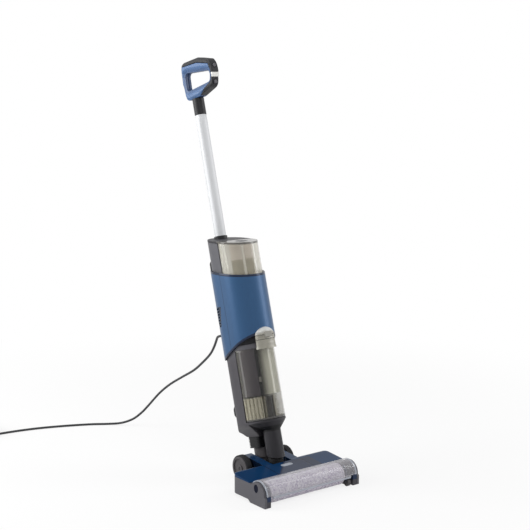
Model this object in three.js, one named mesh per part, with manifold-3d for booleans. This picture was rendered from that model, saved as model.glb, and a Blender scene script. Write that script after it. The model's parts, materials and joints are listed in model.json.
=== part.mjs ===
/**
 * Upright wet and dry hard-floor washer, corded, at real size.
 *
 * Millimetres, +Z up, the machine faces -Y. The floor head is modelled in its own frame, and the
 * upright body in a straight frame whose origin is the recline pivot and whose +Z is the tube's
 * axis. The whole is then moved so that the box of the machine stands on Z = 0, centred in X and Y.
 */
import * as THREE from "three";
import { mergeVertices } from "three/addons/utils/BufferGeometryUtils.js";
import Module from "manifold-3d";

const wasm = await Module();
wasm.setup();

// ---------------------------------------------------------------- driving dimensions
const gap = 0.3; // left between touching pieces
const lean = THREE.MathUtils.degToRad(15.6); // of the upright body when it is parked

// floor head
const headWidth = 300;
const headFront = -138; // front face of the side plates, from the head's own zero
const plateThickness = 6.8;
const plateRear = -3;
const deckFront = -75;
const deckFrontHeight = 51.5;
const deckRearHeight = 57;
const podRear = -1;
const rearFillet = 7; // of the deck's rear top edges
const rearCorner = 20; // of the head's plan, at its outer rear corners
const centralHalfWidth = 56;
const centralRear = 82;
const centralHeight = 63;
const coverWall = 3;
const coverBottom = 18;
const floorGap = 5; // from the floor to the tray
const trayThickness = 3;
const neckSlotHalf = 30.5;
const neckSlotFront = -14;

// brush roll
const brushY = -104;
const brushZ = 28.4;
const sleeveRadius = 27.8;
const coreRadius = 23;
const coreBore = 17;
const rollLeftMargin = 25; // from the head's ends to the sleeve
const rollRightMargin = 41;
const brushLeft = -headWidth / 2 + rollLeftMargin;
const brushRight = headWidth / 2 - rollRightMargin;
const windowRadius = 33.4;
const windowWall = 2.4;
const chamberWall = 2.7;
const chamberClearance = 3;

// brush drive
const driveMargin = 32;
const driveX = headWidth / 2 - driveMargin; // inner face of the belt
const beltWidth = 8;
const beltThickness = 1.5;
const brushPulleyRadius = 10;
const motorPulleyRadius = 6;
const brushMotorY = -30;
const brushMotorZ = 30;
const brushMotorRadius = 17;
const brushMotorLength = 60;

// wheels
const wheelRadius = 34;
const wheelWidth = 19;
const wheelInnerX = 58.5;
const wheelY = 64;
const tyreThickness = 3;
const wheelPinRadius = 3.5;
const footWheelRadius = 9.5;
const footWheelWidth = 9;
const footWheelMargin = 35.4;
const footWheelX = headWidth / 2 - footWheelMargin;
const footWheelY = -127.6;
const footPinRadius = 2;

// recline and steering neck
const pivotY = 52;
const pivotZ = 42;
const barrelRadius = 11;
const barrelHalf = 24;
const reclinePinRadius = 4;
const earThickness = 5;
const yokeRadius = 24;
const yokeTop = 38;
const swivelY = 5;
const swivelPinRadius = 9;
const knuckleHalf = 28;
const knuckleFront = -16;
const knuckleRear = 27;
const knuckleCorner = 6;
const columnRadius = 23;
const columnY = -45;
const columnWall = 2.5;
const columnFoot = 26.5; // height of the column's slanted foot on the pivot's own line

// upright body section: two half rounds joined by straight sides
const sectionRear = 7; // centre of the rear half round
const sectionFront = -26; // centre of the front half round, shell and clean tank
const dirtySectionFront = -21; // the same for the dirty tank
const shellRadius = 60;
const shellStep = 5; // the spine and the tanks stand back from the shell
const innerRadius = shellRadius - shellStep;
const shellWall = 3;
const spineWall = 3;
const spineFace = -17; // front edge of the spine's sides
const rimSlope = 0.24; // the upper rims drop toward the front
const spineRear = sectionRear + innerRadius;
const neckTop = 68;
const spigotTop = neckTop - 1;
const trayBottom = 82;
const tankSeat = 108;
const dirtyTankTop = 292;
const dirtyLidThickness = 12;
const motorBayFloor = dirtyTankTop + 38;
const motorBayHeight = 111;
const motorBayRoof = motorBayFloor + motorBayHeight;
const cleanTankBottom = motorBayRoof + 5;
const cleanTankHeight = 135; // to the lid's top face, above the pivot
const bodyTop = cleanTankBottom + cleanTankHeight;
const shellTop = cleanTankBottom + 53;
const shellBottom = dirtyTankTop - 4.5;
const shellBottomSlope = -0.46;
const shellRearBottom = dirtyTankTop - 20; // the rim runs level round the back
const seamY = -11;
const capThickness = 5;

// water tanks
const tankWall = 2.4;
const filterDrop = 120; // of the filter housing, from the tank's rim
const filterWall = 2;
const filterInset = tankWall + 1; // of the housing's outside, from the tank's
const filterInner = innerRadius - filterInset - filterWall;
const floatPlay = 4.6; // between the float and the front of the filter housing
const floatRadius = filterInner - (dirtySectionFront - columnY) - floatPlay;
const floatDrop = 70; // of the float's top, from the tank's rim
const floatHeight = 26;
const latchTop = dirtyTankTop + 51;
const latchReach = 12; // of the clear hood, in front of the shell
const shellFace = sectionFront - shellRadius;
const latchFront = shellFace - latchReach;
const latchHalf = 27;

// tube and handle
const tubeInset = 22; // of its axis, from the spine's back
const tubeY = spineRear - tubeInset;
const tubeRadius = 15;
const tubeWall = 1.5;
const tubeBottom = cleanTankBottom + 24;
const tubeTop = 922;
const collarRadius = 17.5;
const handleHalf = 14;
const neckRadius = 15.6;
const handleFloor = tubeTop + 45;
// heights on the handle, from its floor
const bandBottom = 34;
const bandTop = 45.5;
const buttonRadius = 5.5;
const buttonTravel = 1.5;
const powerButtonZ = 64;
const modeButtonZ = 22;

// ---------------------------------------------------------------- materials
const finish = (color, roughness, metalness = 0) =>
  new THREE.MeshStandardMaterial({ color, roughness, metalness });
const blue = finish(0x3f6492, 0.35, 0.2);
const navy = finish(0x12284b, 0.15);
const grey = finish(0x55565b, 0.5);
const darkGrey = finish(0x2e2f33, 0.5);
const black = finish(0x17181b, 0.45);
const smoke = finish(0x9a978b, 0.1);
const clear = finish(0xd8dade, 0.08);
const fleece = finish(0xcfc8d6, 0.95);
const rubber = finish(0x1c1c1e, 0.8);
const aluminium = finish(0xd4d6d8, 0.3, 0.9);
const steel = finish(0xb9bcc0, 0.3, 1);
const brass = finish(0xb99a4e, 0.35, 1);
const white = finish(0xf0f0ee, 0.4);
const board = finish(0x1f5a38, 0.6);
const cordBlack = finish(0x1d1e21, 0.6);

// ---------------------------------------------------------------- shape helpers
/** Closed geometry to a solid, with its shared corners merged. */
function solidOf(geometry) {
  const bare = geometry.index ? geometry.clone() : geometry;
  bare.deleteAttribute("normal");
  bare.deleteAttribute("uv");
  const merged = mergeVertices(bare, 1e-4);
  const vertProperties = Float32Array.from(merged.attributes.position.array);
  const triVerts = Uint32Array.from(merged.index.array);
  return new wasm.Manifold(new wasm.Mesh({ numProp: 3, vertProperties, triVerts }));
}

function geometryOf(solid) {
  const mesh = solid.getMesh();
  const geometry = new THREE.BufferGeometry();
  geometry.setAttribute("position", new THREE.BufferAttribute(mesh.vertProperties, 3));
  geometry.setIndex(new THREE.BufferAttribute(mesh.triVerts, 1));
  return geometry;
}

const box = (x0, x1, y0, y1, z0, z1) => {
  const geometry = new THREE.BoxGeometry(x1 - x0, y1 - y0, z1 - z0);
  return solidOf(geometry.translate((x0 + x1) / 2, (y0 + y1) / 2, (z0 + z1) / 2));
};

/** Shape drawn in (x, y), raised from z0 to z1. */
function prismZ(shape, z0, z1, curveSegments = 8) {
  const geometry = new THREE.ExtrudeGeometry(shape, {
    depth: z1 - z0,
    bevelEnabled: false,
    curveSegments,
  });
  return solidOf(geometry.translate(0, 0, z0));
}

/** Shape drawn in (y, z), run from x0 to x1. */
function prismX(shape, x0, x1, curveSegments = 6) {
  const geometry = new THREE.ExtrudeGeometry(shape, {
    depth: x1 - x0,
    bevelEnabled: false,
    curveSegments,
  });
  const turn = new THREE.Matrix4().makeBasis(
    new THREE.Vector3(0, 1, 0),
    new THREE.Vector3(0, 0, 1),
    new THREE.Vector3(1, 0, 0),
  );
  return solidOf(geometry.applyMatrix4(turn).translate(x0, 0, 0));
}

/** Shape drawn in (x, z), run from y0 to y1. */
function prismY(shape, y0, y1, curveSegments = 6) {
  const geometry = new THREE.ExtrudeGeometry(shape, {
    depth: y1 - y0,
    bevelEnabled: false,
    curveSegments,
  });
  return solidOf(geometry.rotateX(Math.PI / 2).translate(0, y1, 0));
}

const outline = (points) => new THREE.Shape(points.map(([a, b]) => new THREE.Vector2(a, b)));

function roundX(y, z, radius, x0, x1, segments = 24) {
  const geometry = new THREE.CylinderGeometry(radius, radius, x1 - x0, segments);
  return solidOf(geometry.rotateZ(Math.PI / 2).translate((x0 + x1) / 2, y, z));
}

function roundY(x, z, radius, y0, y1, segments = 24) {
  const geometry = new THREE.CylinderGeometry(radius, radius, y1 - y0, segments);
  return solidOf(geometry.translate(x, (y0 + y1) / 2, z));
}

function roundZ(x, y, radius, z0, z1, segments = 24) {
  const geometry = new THREE.CylinderGeometry(radius, radius, z1 - z0, segments);
  return solidOf(geometry.rotateX(Math.PI / 2).translate(x, y, (z0 + z1) / 2));
}

/** Ring about X between two radii. */
const ringX = (y, z, outer, inner, x0, x1, segments = 24) =>
  roundX(y, z, outer, x0, x1, segments).subtract(roundX(y, z, inner, x0 - 1, x1 + 1, segments));

const ringZ = (x, y, outer, inner, z0, z1, segments = 24) =>
  roundZ(x, y, outer, z0, z1, segments).subtract(roundZ(x, y, inner, z0 - 1, z1 + 1, segments));

/** Pipe along a smooth route through the points. */
function pipe(points, outer, inner, steps, sides = 6) {
  const section = new THREE.Shape().absarc(0, 0, outer, 0, 2 * Math.PI, false);
  if (inner > 0) section.holes.push(new THREE.Path().absarc(0, 0, inner, 0, 2 * Math.PI, true));
  const route = new THREE.CatmullRomCurve3(points.map((p) => new THREE.Vector3(...p)));
  const options = { steps, extrudePath: route, curveSegments: sides, bevelEnabled: false };
  return solidOf(new THREE.ExtrudeGeometry(section, options));
}

/** The upright body's plan: half rounds about the rear and front centres. */
function bodyPlan(radius, front) {
  const plan = new THREE.Shape();
  plan.absarc(0, sectionRear, radius, 0, Math.PI, false);
  plan.absarc(0, front, radius, Math.PI, 2 * Math.PI, false);
  plan.closePath();
  return plan;
}

const planSegments = 12; // to each half round
const bodyColumn = (radius, z0, z1, front = sectionFront) =>
  prismZ(bodyPlan(radius, front), z0, z1, planSegments);

const far = 1500; // reach of the cutting blocks
/** Everything above the plane z = height + slope * y. */
const above = (height, slope) =>
  prismX(
    outline([
      [-far, height - slope * far],
      [far, height + slope * far],
      [far, height + far + far],
      [-far, height + far + far],
    ]),
    -far,
    far,
  );
/** Everything below the plane z = height + slope * y. */
const below = (height, slope) =>
  prismX(
    outline([
      [-far, height - far - far],
      [far, height - far - far],
      [far, height + slope * far],
      [-far, height - slope * far],
    ]),
    -far,
    far,
  );
const frontOf = (y) => box(-far, far, -far, y, -far, far);
const rearOf = (y) => box(-far, far, y, far, -far, far);

const head = new THREE.Group();
const upright = new THREE.Group();
upright.position.set(0, pivotY, pivotZ);
upright.rotation.x = -lean;
const lead = new THREE.Group();

function add(group, name, material, solid) {
  const mesh = new THREE.Mesh(geometryOf(solid), material);
  mesh.name = name;
  group.add(mesh);
}

// ================================================================ floor head
/** Side view of the deck: the low pods, or the higher middle section. */
function deckOutline(rear, top, inset) {
  const front = deckFront;
  const side = new THREE.Shape();
  side.moveTo(front - (inset > 0 ? 10 : 0), coverBottom - inset);
  side.lineTo(front - (inset > 0 ? 10 : 0), deckFrontHeight - inset);
  side.lineTo(front, deckFrontHeight - inset);
  side.lineTo(rear - rearFillet, top - inset);
  side.quadraticCurveTo(rear - inset, top - inset, rear - inset, top - rearFillet);
  side.lineTo(rear - inset, coverBottom - inset);
  side.closePath();
  return side;
}

/** Everything inside the head's plan, drawn in by an inset: its rear corners are rounded. */
function headPlan(inset) {
  const half = headWidth / 2 - inset;
  const rear = podRear - inset;
  const round = rearCorner - inset;
  const plan = new THREE.Shape();
  plan.moveTo(-half, -far);
  plan.lineTo(half, -far);
  plan.lineTo(half, rear - round);
  plan.absarc(half - round, rear - round, round, 0, Math.PI / 2, false);
  plan.absarc(round - half, rear - round, round, Math.PI / 2, Math.PI, false);
  plan.closePath();
  return prismZ(plan, -far, far, 6);
}

const podInner = headWidth / 2 - plateThickness - gap;
const deckHalf = headWidth / 2;
const skirt = 50; // the deck's own edge above the side plates
const plateTop = skirt - gap;
{
  const pods = prismX(deckOutline(podRear, deckRearHeight, 0), -podInner, podInner);
  const brim = prismX(deckOutline(plateRear, deckRearHeight, 0), -deckHalf, deckHalf).intersect(
    box(-deckHalf, deckHalf, deckFront, far, skirt, far),
  );
  const middle = prismX(
    deckOutline(centralRear, centralHeight, 0),
    -centralHalfWidth,
    centralHalfWidth,
  );
  const podHollow = prismX(
    deckOutline(podRear, deckRearHeight, coverWall),
    -podInner + coverWall,
    podInner - coverWall,
  ).intersect(headPlan(plateThickness + gap + coverWall));
  const middleHollow = prismX(
    deckOutline(centralRear, centralHeight, coverWall),
    -centralHalfWidth + coverWall,
    centralHalfWidth - coverWall,
  );
  const slot = box(-neckSlotHalf, neckSlotHalf, neckSlotFront, far, -far, far);
  const pinHoles = roundX(wheelY, wheelRadius, wheelPinRadius + gap, -far, far, 16);
  const outside = pods.add(brim).intersect(headPlan(0)).add(middle);
  const shell = outside.subtract(podHollow).subtract(middleHollow);
  const cover = shell.subtract(pinHoles);
  add(head, "head_cover", navy, cover.subtract(slot).subtract(below(coverBottom, 0)));
}

// tray under the deck with the brush chamber, corner blocks, drive bay and the two rear arms
const tray = { top: coverBottom - gap, wall: 3 };
const chamberInner = sleeveRadius + chamberClearance;
const chamberLeft = brushLeft - 6.3;
const chamberRight = brushRight + 2.3;
const chamberRear = deckFront + chamberWall;
const cornerFront = headFront + 0.5;
const footPlateHalf = podInner - gap;
const armInner = barrelHalf + gap;
const earOuter = armInner + earThickness;
const armOuter = centralHalfWidth - coverWall - gap;
const wheelPinInner = armOuter - 12;
const ductRadius = 15;
const ductZ = 25.5;
{
  const floor = box(
    -footPlateHalf,
    footPlateHalf,
    chamberRear + 4,
    podRear,
    floorGap,
    tray.top,
  ).intersect(headPlan(gap));
  const floorHollow = box(
    -footPlateHalf + tray.wall,
    footPlateHalf - tray.wall,
    chamberRear + 4 + tray.wall,
    podRear - tray.wall,
    floorGap + trayThickness,
    far,
  ).intersect(headPlan(gap + tray.wall));
  const backWall = ringX(
    brushY,
    brushZ,
    chamberInner + chamberWall,
    chamberInner,
    chamberLeft - chamberWall,
    chamberRight + chamberWall,
    32,
  ).intersect(
    box(-far, far, deckFront, chamberRear + 8, floorGap, deckFrontHeight - 6).add(
      box(-far, far, brushY + 12, chamberRear + 8, floorGap, 20),
    ),
  );
  const chamberSide = (x) =>
    roundX(brushY, brushZ, chamberInner - gap, x, x + chamberWall, 32)
      .add(box(x, x + chamberWall, brushY, chamberRear + 6, floorGap, brushZ + 9.5))
      .intersect(box(-far, far, -far, far, floorGap, far));
  const frontCorner = (x0, x1) => {
    const outer = box(x0, x1, cornerFront, cornerFront + 17, 1.5, 29);
    const stem = box(x0, x1, cornerFront, brushY, 12, 24);
    return outer.add(stem);
  };
  const leftCorner = frontCorner(-footPlateHalf, chamberLeft).add(
    box(-footPlateHalf, chamberLeft - chamberWall, cornerFront, chamberRear + 8, floorGap, 14),
  );
  const rightInner = driveX + beltWidth + 4;
  const rightCorner = frontCorner(rightInner, footPlateHalf).add(
    box(rightInner, footPlateHalf, cornerFront, chamberRear + 8, floorGap, 14),
  );
  const arm = (s) => {
    const x0 = Math.min(s * armInner, s * armOuter);
    const x1 = Math.max(s * armInner, s * armOuter);
    const ear0 = Math.min(s * armInner, s * earOuter);
    const beam = box(x0, x1, podRear - 6, centralRear - coverWall - gap, floorGap, tray.top);
    const ear = roundX(pivotY, pivotZ, barrelRadius + 1, ear0, ear0 + earThickness).add(
      box(ear0, ear0 + earThickness, pivotY - 10, pivotY + 10, floorGap, pivotZ),
    );
    const bossX0 = Math.min(s * wheelPinInner, s * armOuter);
    const boss = roundX(wheelY, wheelRadius, 9, bossX0, bossX0 + 12).add(
      box(bossX0, bossX0 + 12, wheelY - 8, wheelY + 8, floorGap, wheelRadius),
    );
    const stubEnd = s * (wheelInnerX + wheelWidth - 1.5);
    const stub0 = Math.min(s * (wheelPinInner + 4), stubEnd);
    const stub1 = Math.max(s * (wheelPinInner + 4), stubEnd);
    const stub = roundX(wheelY, wheelRadius, wheelPinRadius, stub0, stub1, 20);
    return beam.add(ear).add(boss).add(stub);
  };
  const footBracket = (x0, x1) =>
    box(x0, x1, footWheelY - 4, brushY - 13, footWheelRadius - 4, footWheelRadius + 5);
  const bracketInner = footWheelX + footWheelWidth + gap;
  const footPin = roundX(footWheelY, footWheelRadius, footPinRadius, footWheelX, bracketInner + 1, 16);
  const brackets = footBracket(bracketInner, rightInner + 2).add(footPin);
  const pinBores = roundX(pivotY, pivotZ, reclinePinRadius + gap, -far, far)
    .add(roundX(brushY, brushZ, 6, -far, far));
  const ductHalf = ductRadius + gap;
  const ductLow = ductZ - ductHalf;
  const ductMouth = box(-ductHalf, ductHalf, chamberRear - 12, chamberRear + 9, ductLow, 42).add(
    box(-ductHalf, ductHalf, podRear - tray.wall - 1, podRear + 1, ductLow, far),
  );
  const tie = box(chamberRight, rightInner + 1, chamberRear + 4, chamberRear + 7, floorGap, 14);
  const chassis = floor
    .subtract(floorHollow)
    .add(backWall)
    .add(chamberSide(chamberLeft - chamberWall))
    .add(chamberSide(chamberRight))
    .add(leftCorner)
    .add(rightCorner)
    .add(tie)
    .add(arm(-1))
    .add(arm(1))
    .add(brackets)
    .subtract(pinBores)
    .subtract(ductMouth);
  add(head, "chassis", darkGrey, chassis);
}

// side plates: front corner, round over the brush, level top, stepped foot
const plateStep = 4; // the window's end stands this far proud of the plate's round
function plateOutline() {
  const side = new THREE.Shape();
  side.moveTo(headFront, 1.5);
  side.lineTo(headFront, brushZ - plateStep);
  side.lineTo(headFront + plateStep, brushZ);
  side.absarc(brushY, brushZ, brushY - headFront - plateStep, Math.PI, 0.72, true);
  side.lineTo(deckFront, plateTop);
  side.lineTo(plateRear, plateTop);
  side.lineTo(plateRear, 20);
  side.quadraticCurveTo(plateRear, 8, plateRear - 12, 8);
  side.lineTo(-70, 8);
  side.lineTo(-78, 1.5);
  side.closePath();
  return side;
}
const buttonY = -102;
const buttonZ = 43;
const releaseTravel = 2;
/** Upright oval of the release button and of its seat. */
function oval(grow) {
  return new THREE.Shape().absellipse(buttonY, buttonZ, 8 + grow, 10.5 + grow, 0, 2 * Math.PI);
}
{
  const outer = headWidth / 2;
  const inner = outer - plateThickness;
  const seat = prismX(oval(gap), -outer - 1, -inner + 1);
  const left = prismX(plateOutline(), -outer, -inner).intersect(headPlan(0));
  add(head, "side_plate_left", grey, left.subtract(seat));
  const right = prismX(plateOutline(), inner, outer).intersect(headPlan(0));
  add(head, "side_plate_right", grey, right);
  const stemEnd = chamberLeft - chamberWall - gap - releaseTravel;
  const button = prismX(oval(0), -outer, -inner + 0.5).add(
    roundX(buttonY, buttonZ, 4, -inner, stemEnd),
  );
  add(head, "brush_release_button", navy, button);
}

// clear window over the brush, with its two end arches
const windowEnd = headWidth / 2 - plateThickness - gap;
{
  const sweep = (radius, x0, x1) => roundX(brushY, brushZ, radius, x0, x1, 56);
  const keep = box(-far, far, -far, deckFront - gap, 31, far);
  const rim = sweep(windowRadius, -windowEnd, windowEnd);
  const hollow = sweep(windowRadius - windowWall, -far, far);
  const shell = rim.subtract(hollow).intersect(keep);
  const lip = box(-windowEnd, windowEnd, headFront + 0.2, headFront + 3.4, 29.6, 32);
  add(head, "brush_window", clear, shell.add(lip));
}

// brush roll: core, sleeve, bearing cap, and the pulley with its drive cap
{
  const core = ringX(brushY, brushZ, coreRadius, coreBore, brushLeft + gap, brushRight - gap, 32);
  add(head, "brush_core", darkGrey, core);
  const sleeve = ringX(brushY, brushZ, sleeveRadius, coreRadius + gap, brushLeft, brushRight, 40);
  add(head, "brush_sleeve", fleece, sleeve);
  const capLeft = roundX(brushY, brushZ, coreRadius, brushLeft - 3, brushLeft, 32)
    .add(roundX(brushY, brushZ, coreBore - gap, brushLeft - 0.5, brushLeft + 14, 28))
    .add(roundX(brushY, brushZ, 5, brushLeft - 12, brushLeft - 2));
  add(head, "brush_bearing_cap", black, capLeft);
  const pulley = roundX(brushY, brushZ, brushPulleyRadius, driveX, driveX + beltWidth, 24)
    .add(roundX(brushY, brushZ, brushPulleyRadius + 1, driveX + beltWidth, driveX + beltWidth + 1.5))
    .add(roundX(brushY, brushZ, 5, brushRight + 1, driveX + 1))
    .add(roundX(brushY, brushZ, coreRadius, brushRight, brushRight + 2, 32))
    .add(roundX(brushY, brushZ, coreBore - gap, brushRight - 14, brushRight + 0.5, 28));
  add(head, "brush_pulley", darkGrey, pulley);
}

// drive belt round both pulleys: the straight runs touch both circles
const beltRun = Math.hypot(brushMotorY - brushY, brushMotorZ - brushZ);
const beltTilt = Math.atan2(brushMotorZ - brushZ, brushMotorY - brushY);
function beltLoop(Kind, grow) {
  const big = brushPulleyRadius + gap + grow;
  const small = motorPulleyRadius + gap + grow;
  const spread = Math.acos((big - small) / beltRun);
  const loop = new Kind();
  loop.absarc(brushY, brushZ, big, beltTilt + spread, beltTilt - spread + 2 * Math.PI, false);
  loop.absarc(brushMotorY, brushMotorZ, small, beltTilt - spread, beltTilt + spread, false);
  return loop;
}
{
  const loop = beltLoop(THREE.Shape, beltThickness);
  const inside = prismX(beltLoop(THREE.Shape, 0), driveX - 1, driveX + beltWidth + 1);
  const belt = prismX(loop, driveX + gap, driveX + beltWidth - gap).subtract(inside);
  add(head, "drive_belt", rubber, belt);
  const motorRight = driveX - 4;
  const motorLeft = motorRight - brushMotorLength;
  const motor = roundX(brushMotorY, brushMotorZ, brushMotorRadius, motorLeft, motorRight, 28)
    .add(roundX(brushMotorY, brushMotorZ, 7, motorRight - 1, motorRight + 2.5, 20))
    .add(box(motorLeft + 8, motorRight - 8, brushMotorY - 10, brushMotorY + 10, 8.3, 20));
  add(head, "brush_motor", steel, motor);
  const pinion = roundX(brushMotorY, brushMotorZ, motorPulleyRadius, driveX, driveX + beltWidth, 20)
    .add(roundX(brushMotorY, brushMotorZ, 3, driveX - 4 + 2.5 + gap, driveX + 1))
    .add(roundX(brushMotorY, brushMotorZ, 7.2, driveX + beltWidth, driveX + beltWidth + 1.5));
  add(head, "motor_pulley", brass, pinion);
}

// water and dirt path in the head
const hoseY = 11.5;
const hoseBottom = 44.6;
const hoseTop = 62;
{
  const wiper = box(chamberLeft + 2, chamberRight - 2, chamberRear + 5, chamberRear + 7, 0.8, 3).add(
    box(chamberLeft + 2, chamberRight - 2, chamberRear + 5, chamberRear + 11, 2.4, floorGap - gap),
  );
  add(head, "wiper_blade", rubber, wiper);
  const barZ = 43;
  const barRadius = 3;
  const wallOuter = chamberInner + chamberWall;
  const barY = brushY + gap + barRadius + Math.sqrt(wallOuter ** 2 - (barZ - brushZ) ** 2);
  const bar = roundX(barY, barZ, barRadius, chamberLeft + 20, chamberRight - 6, 12);
  add(head, "spray_bar", clear, bar);
  const ductRoute = [
    [0, chamberRear + 6, ductZ],
    [0, -42, ductZ],
    [0, -14, ductZ],
    [0, 6, ductZ + 5],
    [0, hoseY, hoseBottom - 8],
    [0, hoseY, hoseBottom - gap],
  ];
  const duct = pipe(ductRoute, ductRadius, ductRadius - 2.5, 10);
  add(head, "suction_duct", black, duct);
  let bellows = ringZ(0, hoseY, 17, 13, hoseBottom, hoseTop, 20);
  for (let z = hoseBottom + 1.5; z + 3 < hoseTop; z += 5.4) {
    bellows = bellows.add(ringZ(0, hoseY, 19, 15, z, z + 3, 20));
  }
  add(head, "duct_hose", rubber, bellows);
}

// rear wheels on stub pins, and the small front foot wheel
function wheel(side) {
  const name = side < 0 ? "left" : "right";
  const inner = side < 0 ? -wheelInnerX - wheelWidth : wheelInnerX;
  const outer = inner + wheelWidth;
  const bore = roundX(wheelY, wheelRadius, wheelPinRadius + gap, -far, far, 20);
  const hub = roundX(wheelY, wheelRadius, wheelRadius - tyreThickness - gap, inner, outer, 40);
  const dish = side < 0 ? [inner - 1, inner + 3] : [outer - 3, outer + 1];
  const recess = ringX(wheelY, wheelRadius, 25, 10, dish[0], dish[1], 32);
  add(head, `wheel_${name}`, grey, hub.subtract(recess).subtract(bore));
  const tyre = ringX(
    wheelY,
    wheelRadius,
    wheelRadius,
    wheelRadius - tyreThickness,
    inner + 1.5,
    outer - 1.5,
    48,
  );
  add(head, `tyre_${name}`, rubber, tyre);
}
wheel(-1);
wheel(1);
{
  const x1 = footWheelX + footWheelWidth;
  const bore = footPinRadius + gap;
  const roller = ringX(footWheelY, footWheelRadius, footWheelRadius, bore, footWheelX, x1, 24);
  add(head, "foot_wheel", rubber, roller);
}

// recline pin and steering yoke
{
  const reach = earOuter + 1.5;
  const pin = roundX(pivotY, pivotZ, reclinePinRadius, -reach, reach, 20);
  add(head, "recline_pin", steel, pin);
}
const yoke = new THREE.Group();
yoke.position.copy(upright.position);
yoke.rotation.copy(upright.rotation);
{
  const barrel = roundX(0, 0, barrelRadius, -barrelHalf, barrelHalf, 28);
  const collar = roundZ(0, swivelY, yokeRadius, 13, yokeTop, 32);
  const waist = roundZ(0, swivelY, yokeRadius - 6, 0, 16, 28);
  const spigot = roundZ(0, swivelY, swivelPinRadius, yokeTop - 1, spigotTop - gap, 20);
  const bore = roundX(0, 0, reclinePinRadius + gap, -far, far, 20);
  add(yoke, "neck_yoke", grey, barrel.add(waist).add(collar).add(spigot).subtract(bore));
}

// ================================================================ upright body
// spine: base over the neck, U-shaped back, motor bay floor and roof, tube socket, dirt column
const tubeSocketTop = bodyTop - 11;
const socketBottom = tubeBottom - 8;
const capPlane = bodyTop - capThickness;
const boardY = spineRear - 16;
const boardBottom = motorBayFloor + 40;
const boardTop = motorBayRoof - 11;
const pumpX = 21;
const pumpY = spineRear - 22;
const glandZ = motorBayFloor + 8;
const glandRadius = 7.5;
{
  // the tray under the dirty tank narrows to the dirt column in front and to the neck behind
  const trayRim = bodyColumn(innerRadius, tankSeat - 5, tankSeat, dirtySectionFront);
  const trayFoot = roundZ(0, columnY, columnRadius + 1, trayBottom, trayBottom + 4, 32);
  const trayFront = wasm.Manifold.hull([trayRim.intersect(frontOf(0)), trayFoot]);
  const sideView = outline([
    [-30, tankSeat],
    [-30, neckTop],
    [28, neckTop],
    [34, neckTop + 4],
    [spineRear - 12, neckTop + 17],
    [spineRear + 1, tankSeat - 6],
    [spineRear + 1, tankSeat],
  ]);
  const frontView = outline([
    [-innerRadius - 5, tankSeat],
    [-innerRadius - 1, tankSeat - 4],
    [7 - innerRadius, tankSeat - 14],
    [-knuckleHalf - 4, neckTop + 9],
    [-knuckleHalf, neckTop],
    [knuckleHalf, neckTop],
    [knuckleHalf + 4, neckTop + 9],
    [innerRadius - 7, tankSeat - 14],
    [innerRadius + 1, tankSeat - 4],
    [innerRadius + 5, tankSeat],
  ]);
  const trayRear = bodyColumn(innerRadius, neckTop, tankSeat)
    .intersect(prismX(sideView, -far, far))
    .intersect(prismY(frontView, -far, far))
    .intersect(rearOf(columnY + columnRadius - 4));
  const base = trayFront.add(trayRear);
  const back = bodyColumn(innerRadius, tankSeat - 1, far)
    .subtract(bodyColumn(innerRadius - spineWall, tankSeat - 2, far + 1))
    .subtract(frontOf(spineFace));
  const seat = innerRadius - spineWall + 1;
  const face = (z0, z1) =>
    box(-seat, seat, spineFace, spineFace + spineWall, z0, z1).intersect(
      bodyColumn(innerRadius - 1, z0, z1),
    );
  const plate = (z0, z1) => bodyColumn(shellRadius - shellWall - gap, z0, z1);
  const roofThickness = cleanTankBottom - gap - motorBayRoof;
  const webTop = tubeSocketTop - 10;
  const socketWeb = box(-5, 5, tubeY + tubeRadius + 1, spineRear - 1, socketBottom, webTop);
  const socket = roundZ(0, tubeY, tubeRadius + gap + 3, socketBottom, tubeSocketTop);
  const boardRibs = (x) =>
    box(x, x + 4, boardY + 1.6 + gap, far, boardBottom + 2, boardTop - 4).intersect(
      bodyColumn(innerRadius - 1, 0, far),
    );
  const column = roundZ(0, columnY, columnRadius, 0, tankSeat - 8, 32).intersect(
    above(columnFoot, Math.tan(lean)),
  );
  const duct = roundZ(0, columnY, columnRadius - columnWall, -far, far, 28).intersect(
    box(-far, far, -far, far, -far, tankSeat + 1),
  );
  const socketBore = roundZ(0, tubeY, tubeRadius + gap, tubeBottom - gap, far);
  const hosePass = roundZ(pumpX, pumpY, 4.5, motorBayFloor - 9, motorBayFloor + 5, 16);
  const spine = base
    .add(back)
    .add(face(tankSeat - 1, motorBayFloor))
    .add(face(motorBayRoof, far))
    .add(plate(motorBayFloor - 4, motorBayFloor))
    .add(plate(motorBayRoof, motorBayRoof + roofThickness))
    .add(socket)
    .add(socketWeb)
    .add(boardRibs(-20))
    .add(boardRibs(16))
    .add(column)
    .subtract(duct)
    .subtract(socketBore)
    .subtract(hosePass)
    .subtract(roundY(0, glandZ, 5, sectionRear + 40, far, 16))
    .subtract(above(capPlane - gap, rimSlope));
  add(upright, "spine", grey, spine);
  const block = new THREE.Shape();
  const cornerX = knuckleHalf - knuckleCorner;
  const corners = [
    [cornerX, knuckleRear - knuckleCorner, 0],
    [-cornerX, knuckleRear - knuckleCorner, 1],
    [-cornerX, knuckleFront + knuckleCorner, 2],
    [cornerX, knuckleFront + knuckleCorner, 3],
  ];
  for (const [x, y, quarter] of corners) {
    const start = (quarter * Math.PI) / 2;
    block.absarc(x, y, knuckleCorner, start, start + Math.PI / 2, false);
  }
  block.closePath();
  const knuckle = prismZ(block, yokeTop + gap, neckTop - gap, 4).subtract(
    roundZ(0, swivelY, swivelPinRadius + gap, -far, far, 28),
  );
  add(upright, "swivel_knuckle", black, knuckle);
  const cap = bodyColumn(innerRadius, capPlane - 60, far)
    .intersect(rearOf(spineFace + gap))
    .intersect(above(capPlane, rimSlope))
    .subtract(above(bodyTop, rimSlope))
    .subtract(roundZ(0, tubeY, collarRadius + gap, 0, far));
  add(upright, "spine_cap", darkGrey, cap);
}

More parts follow.
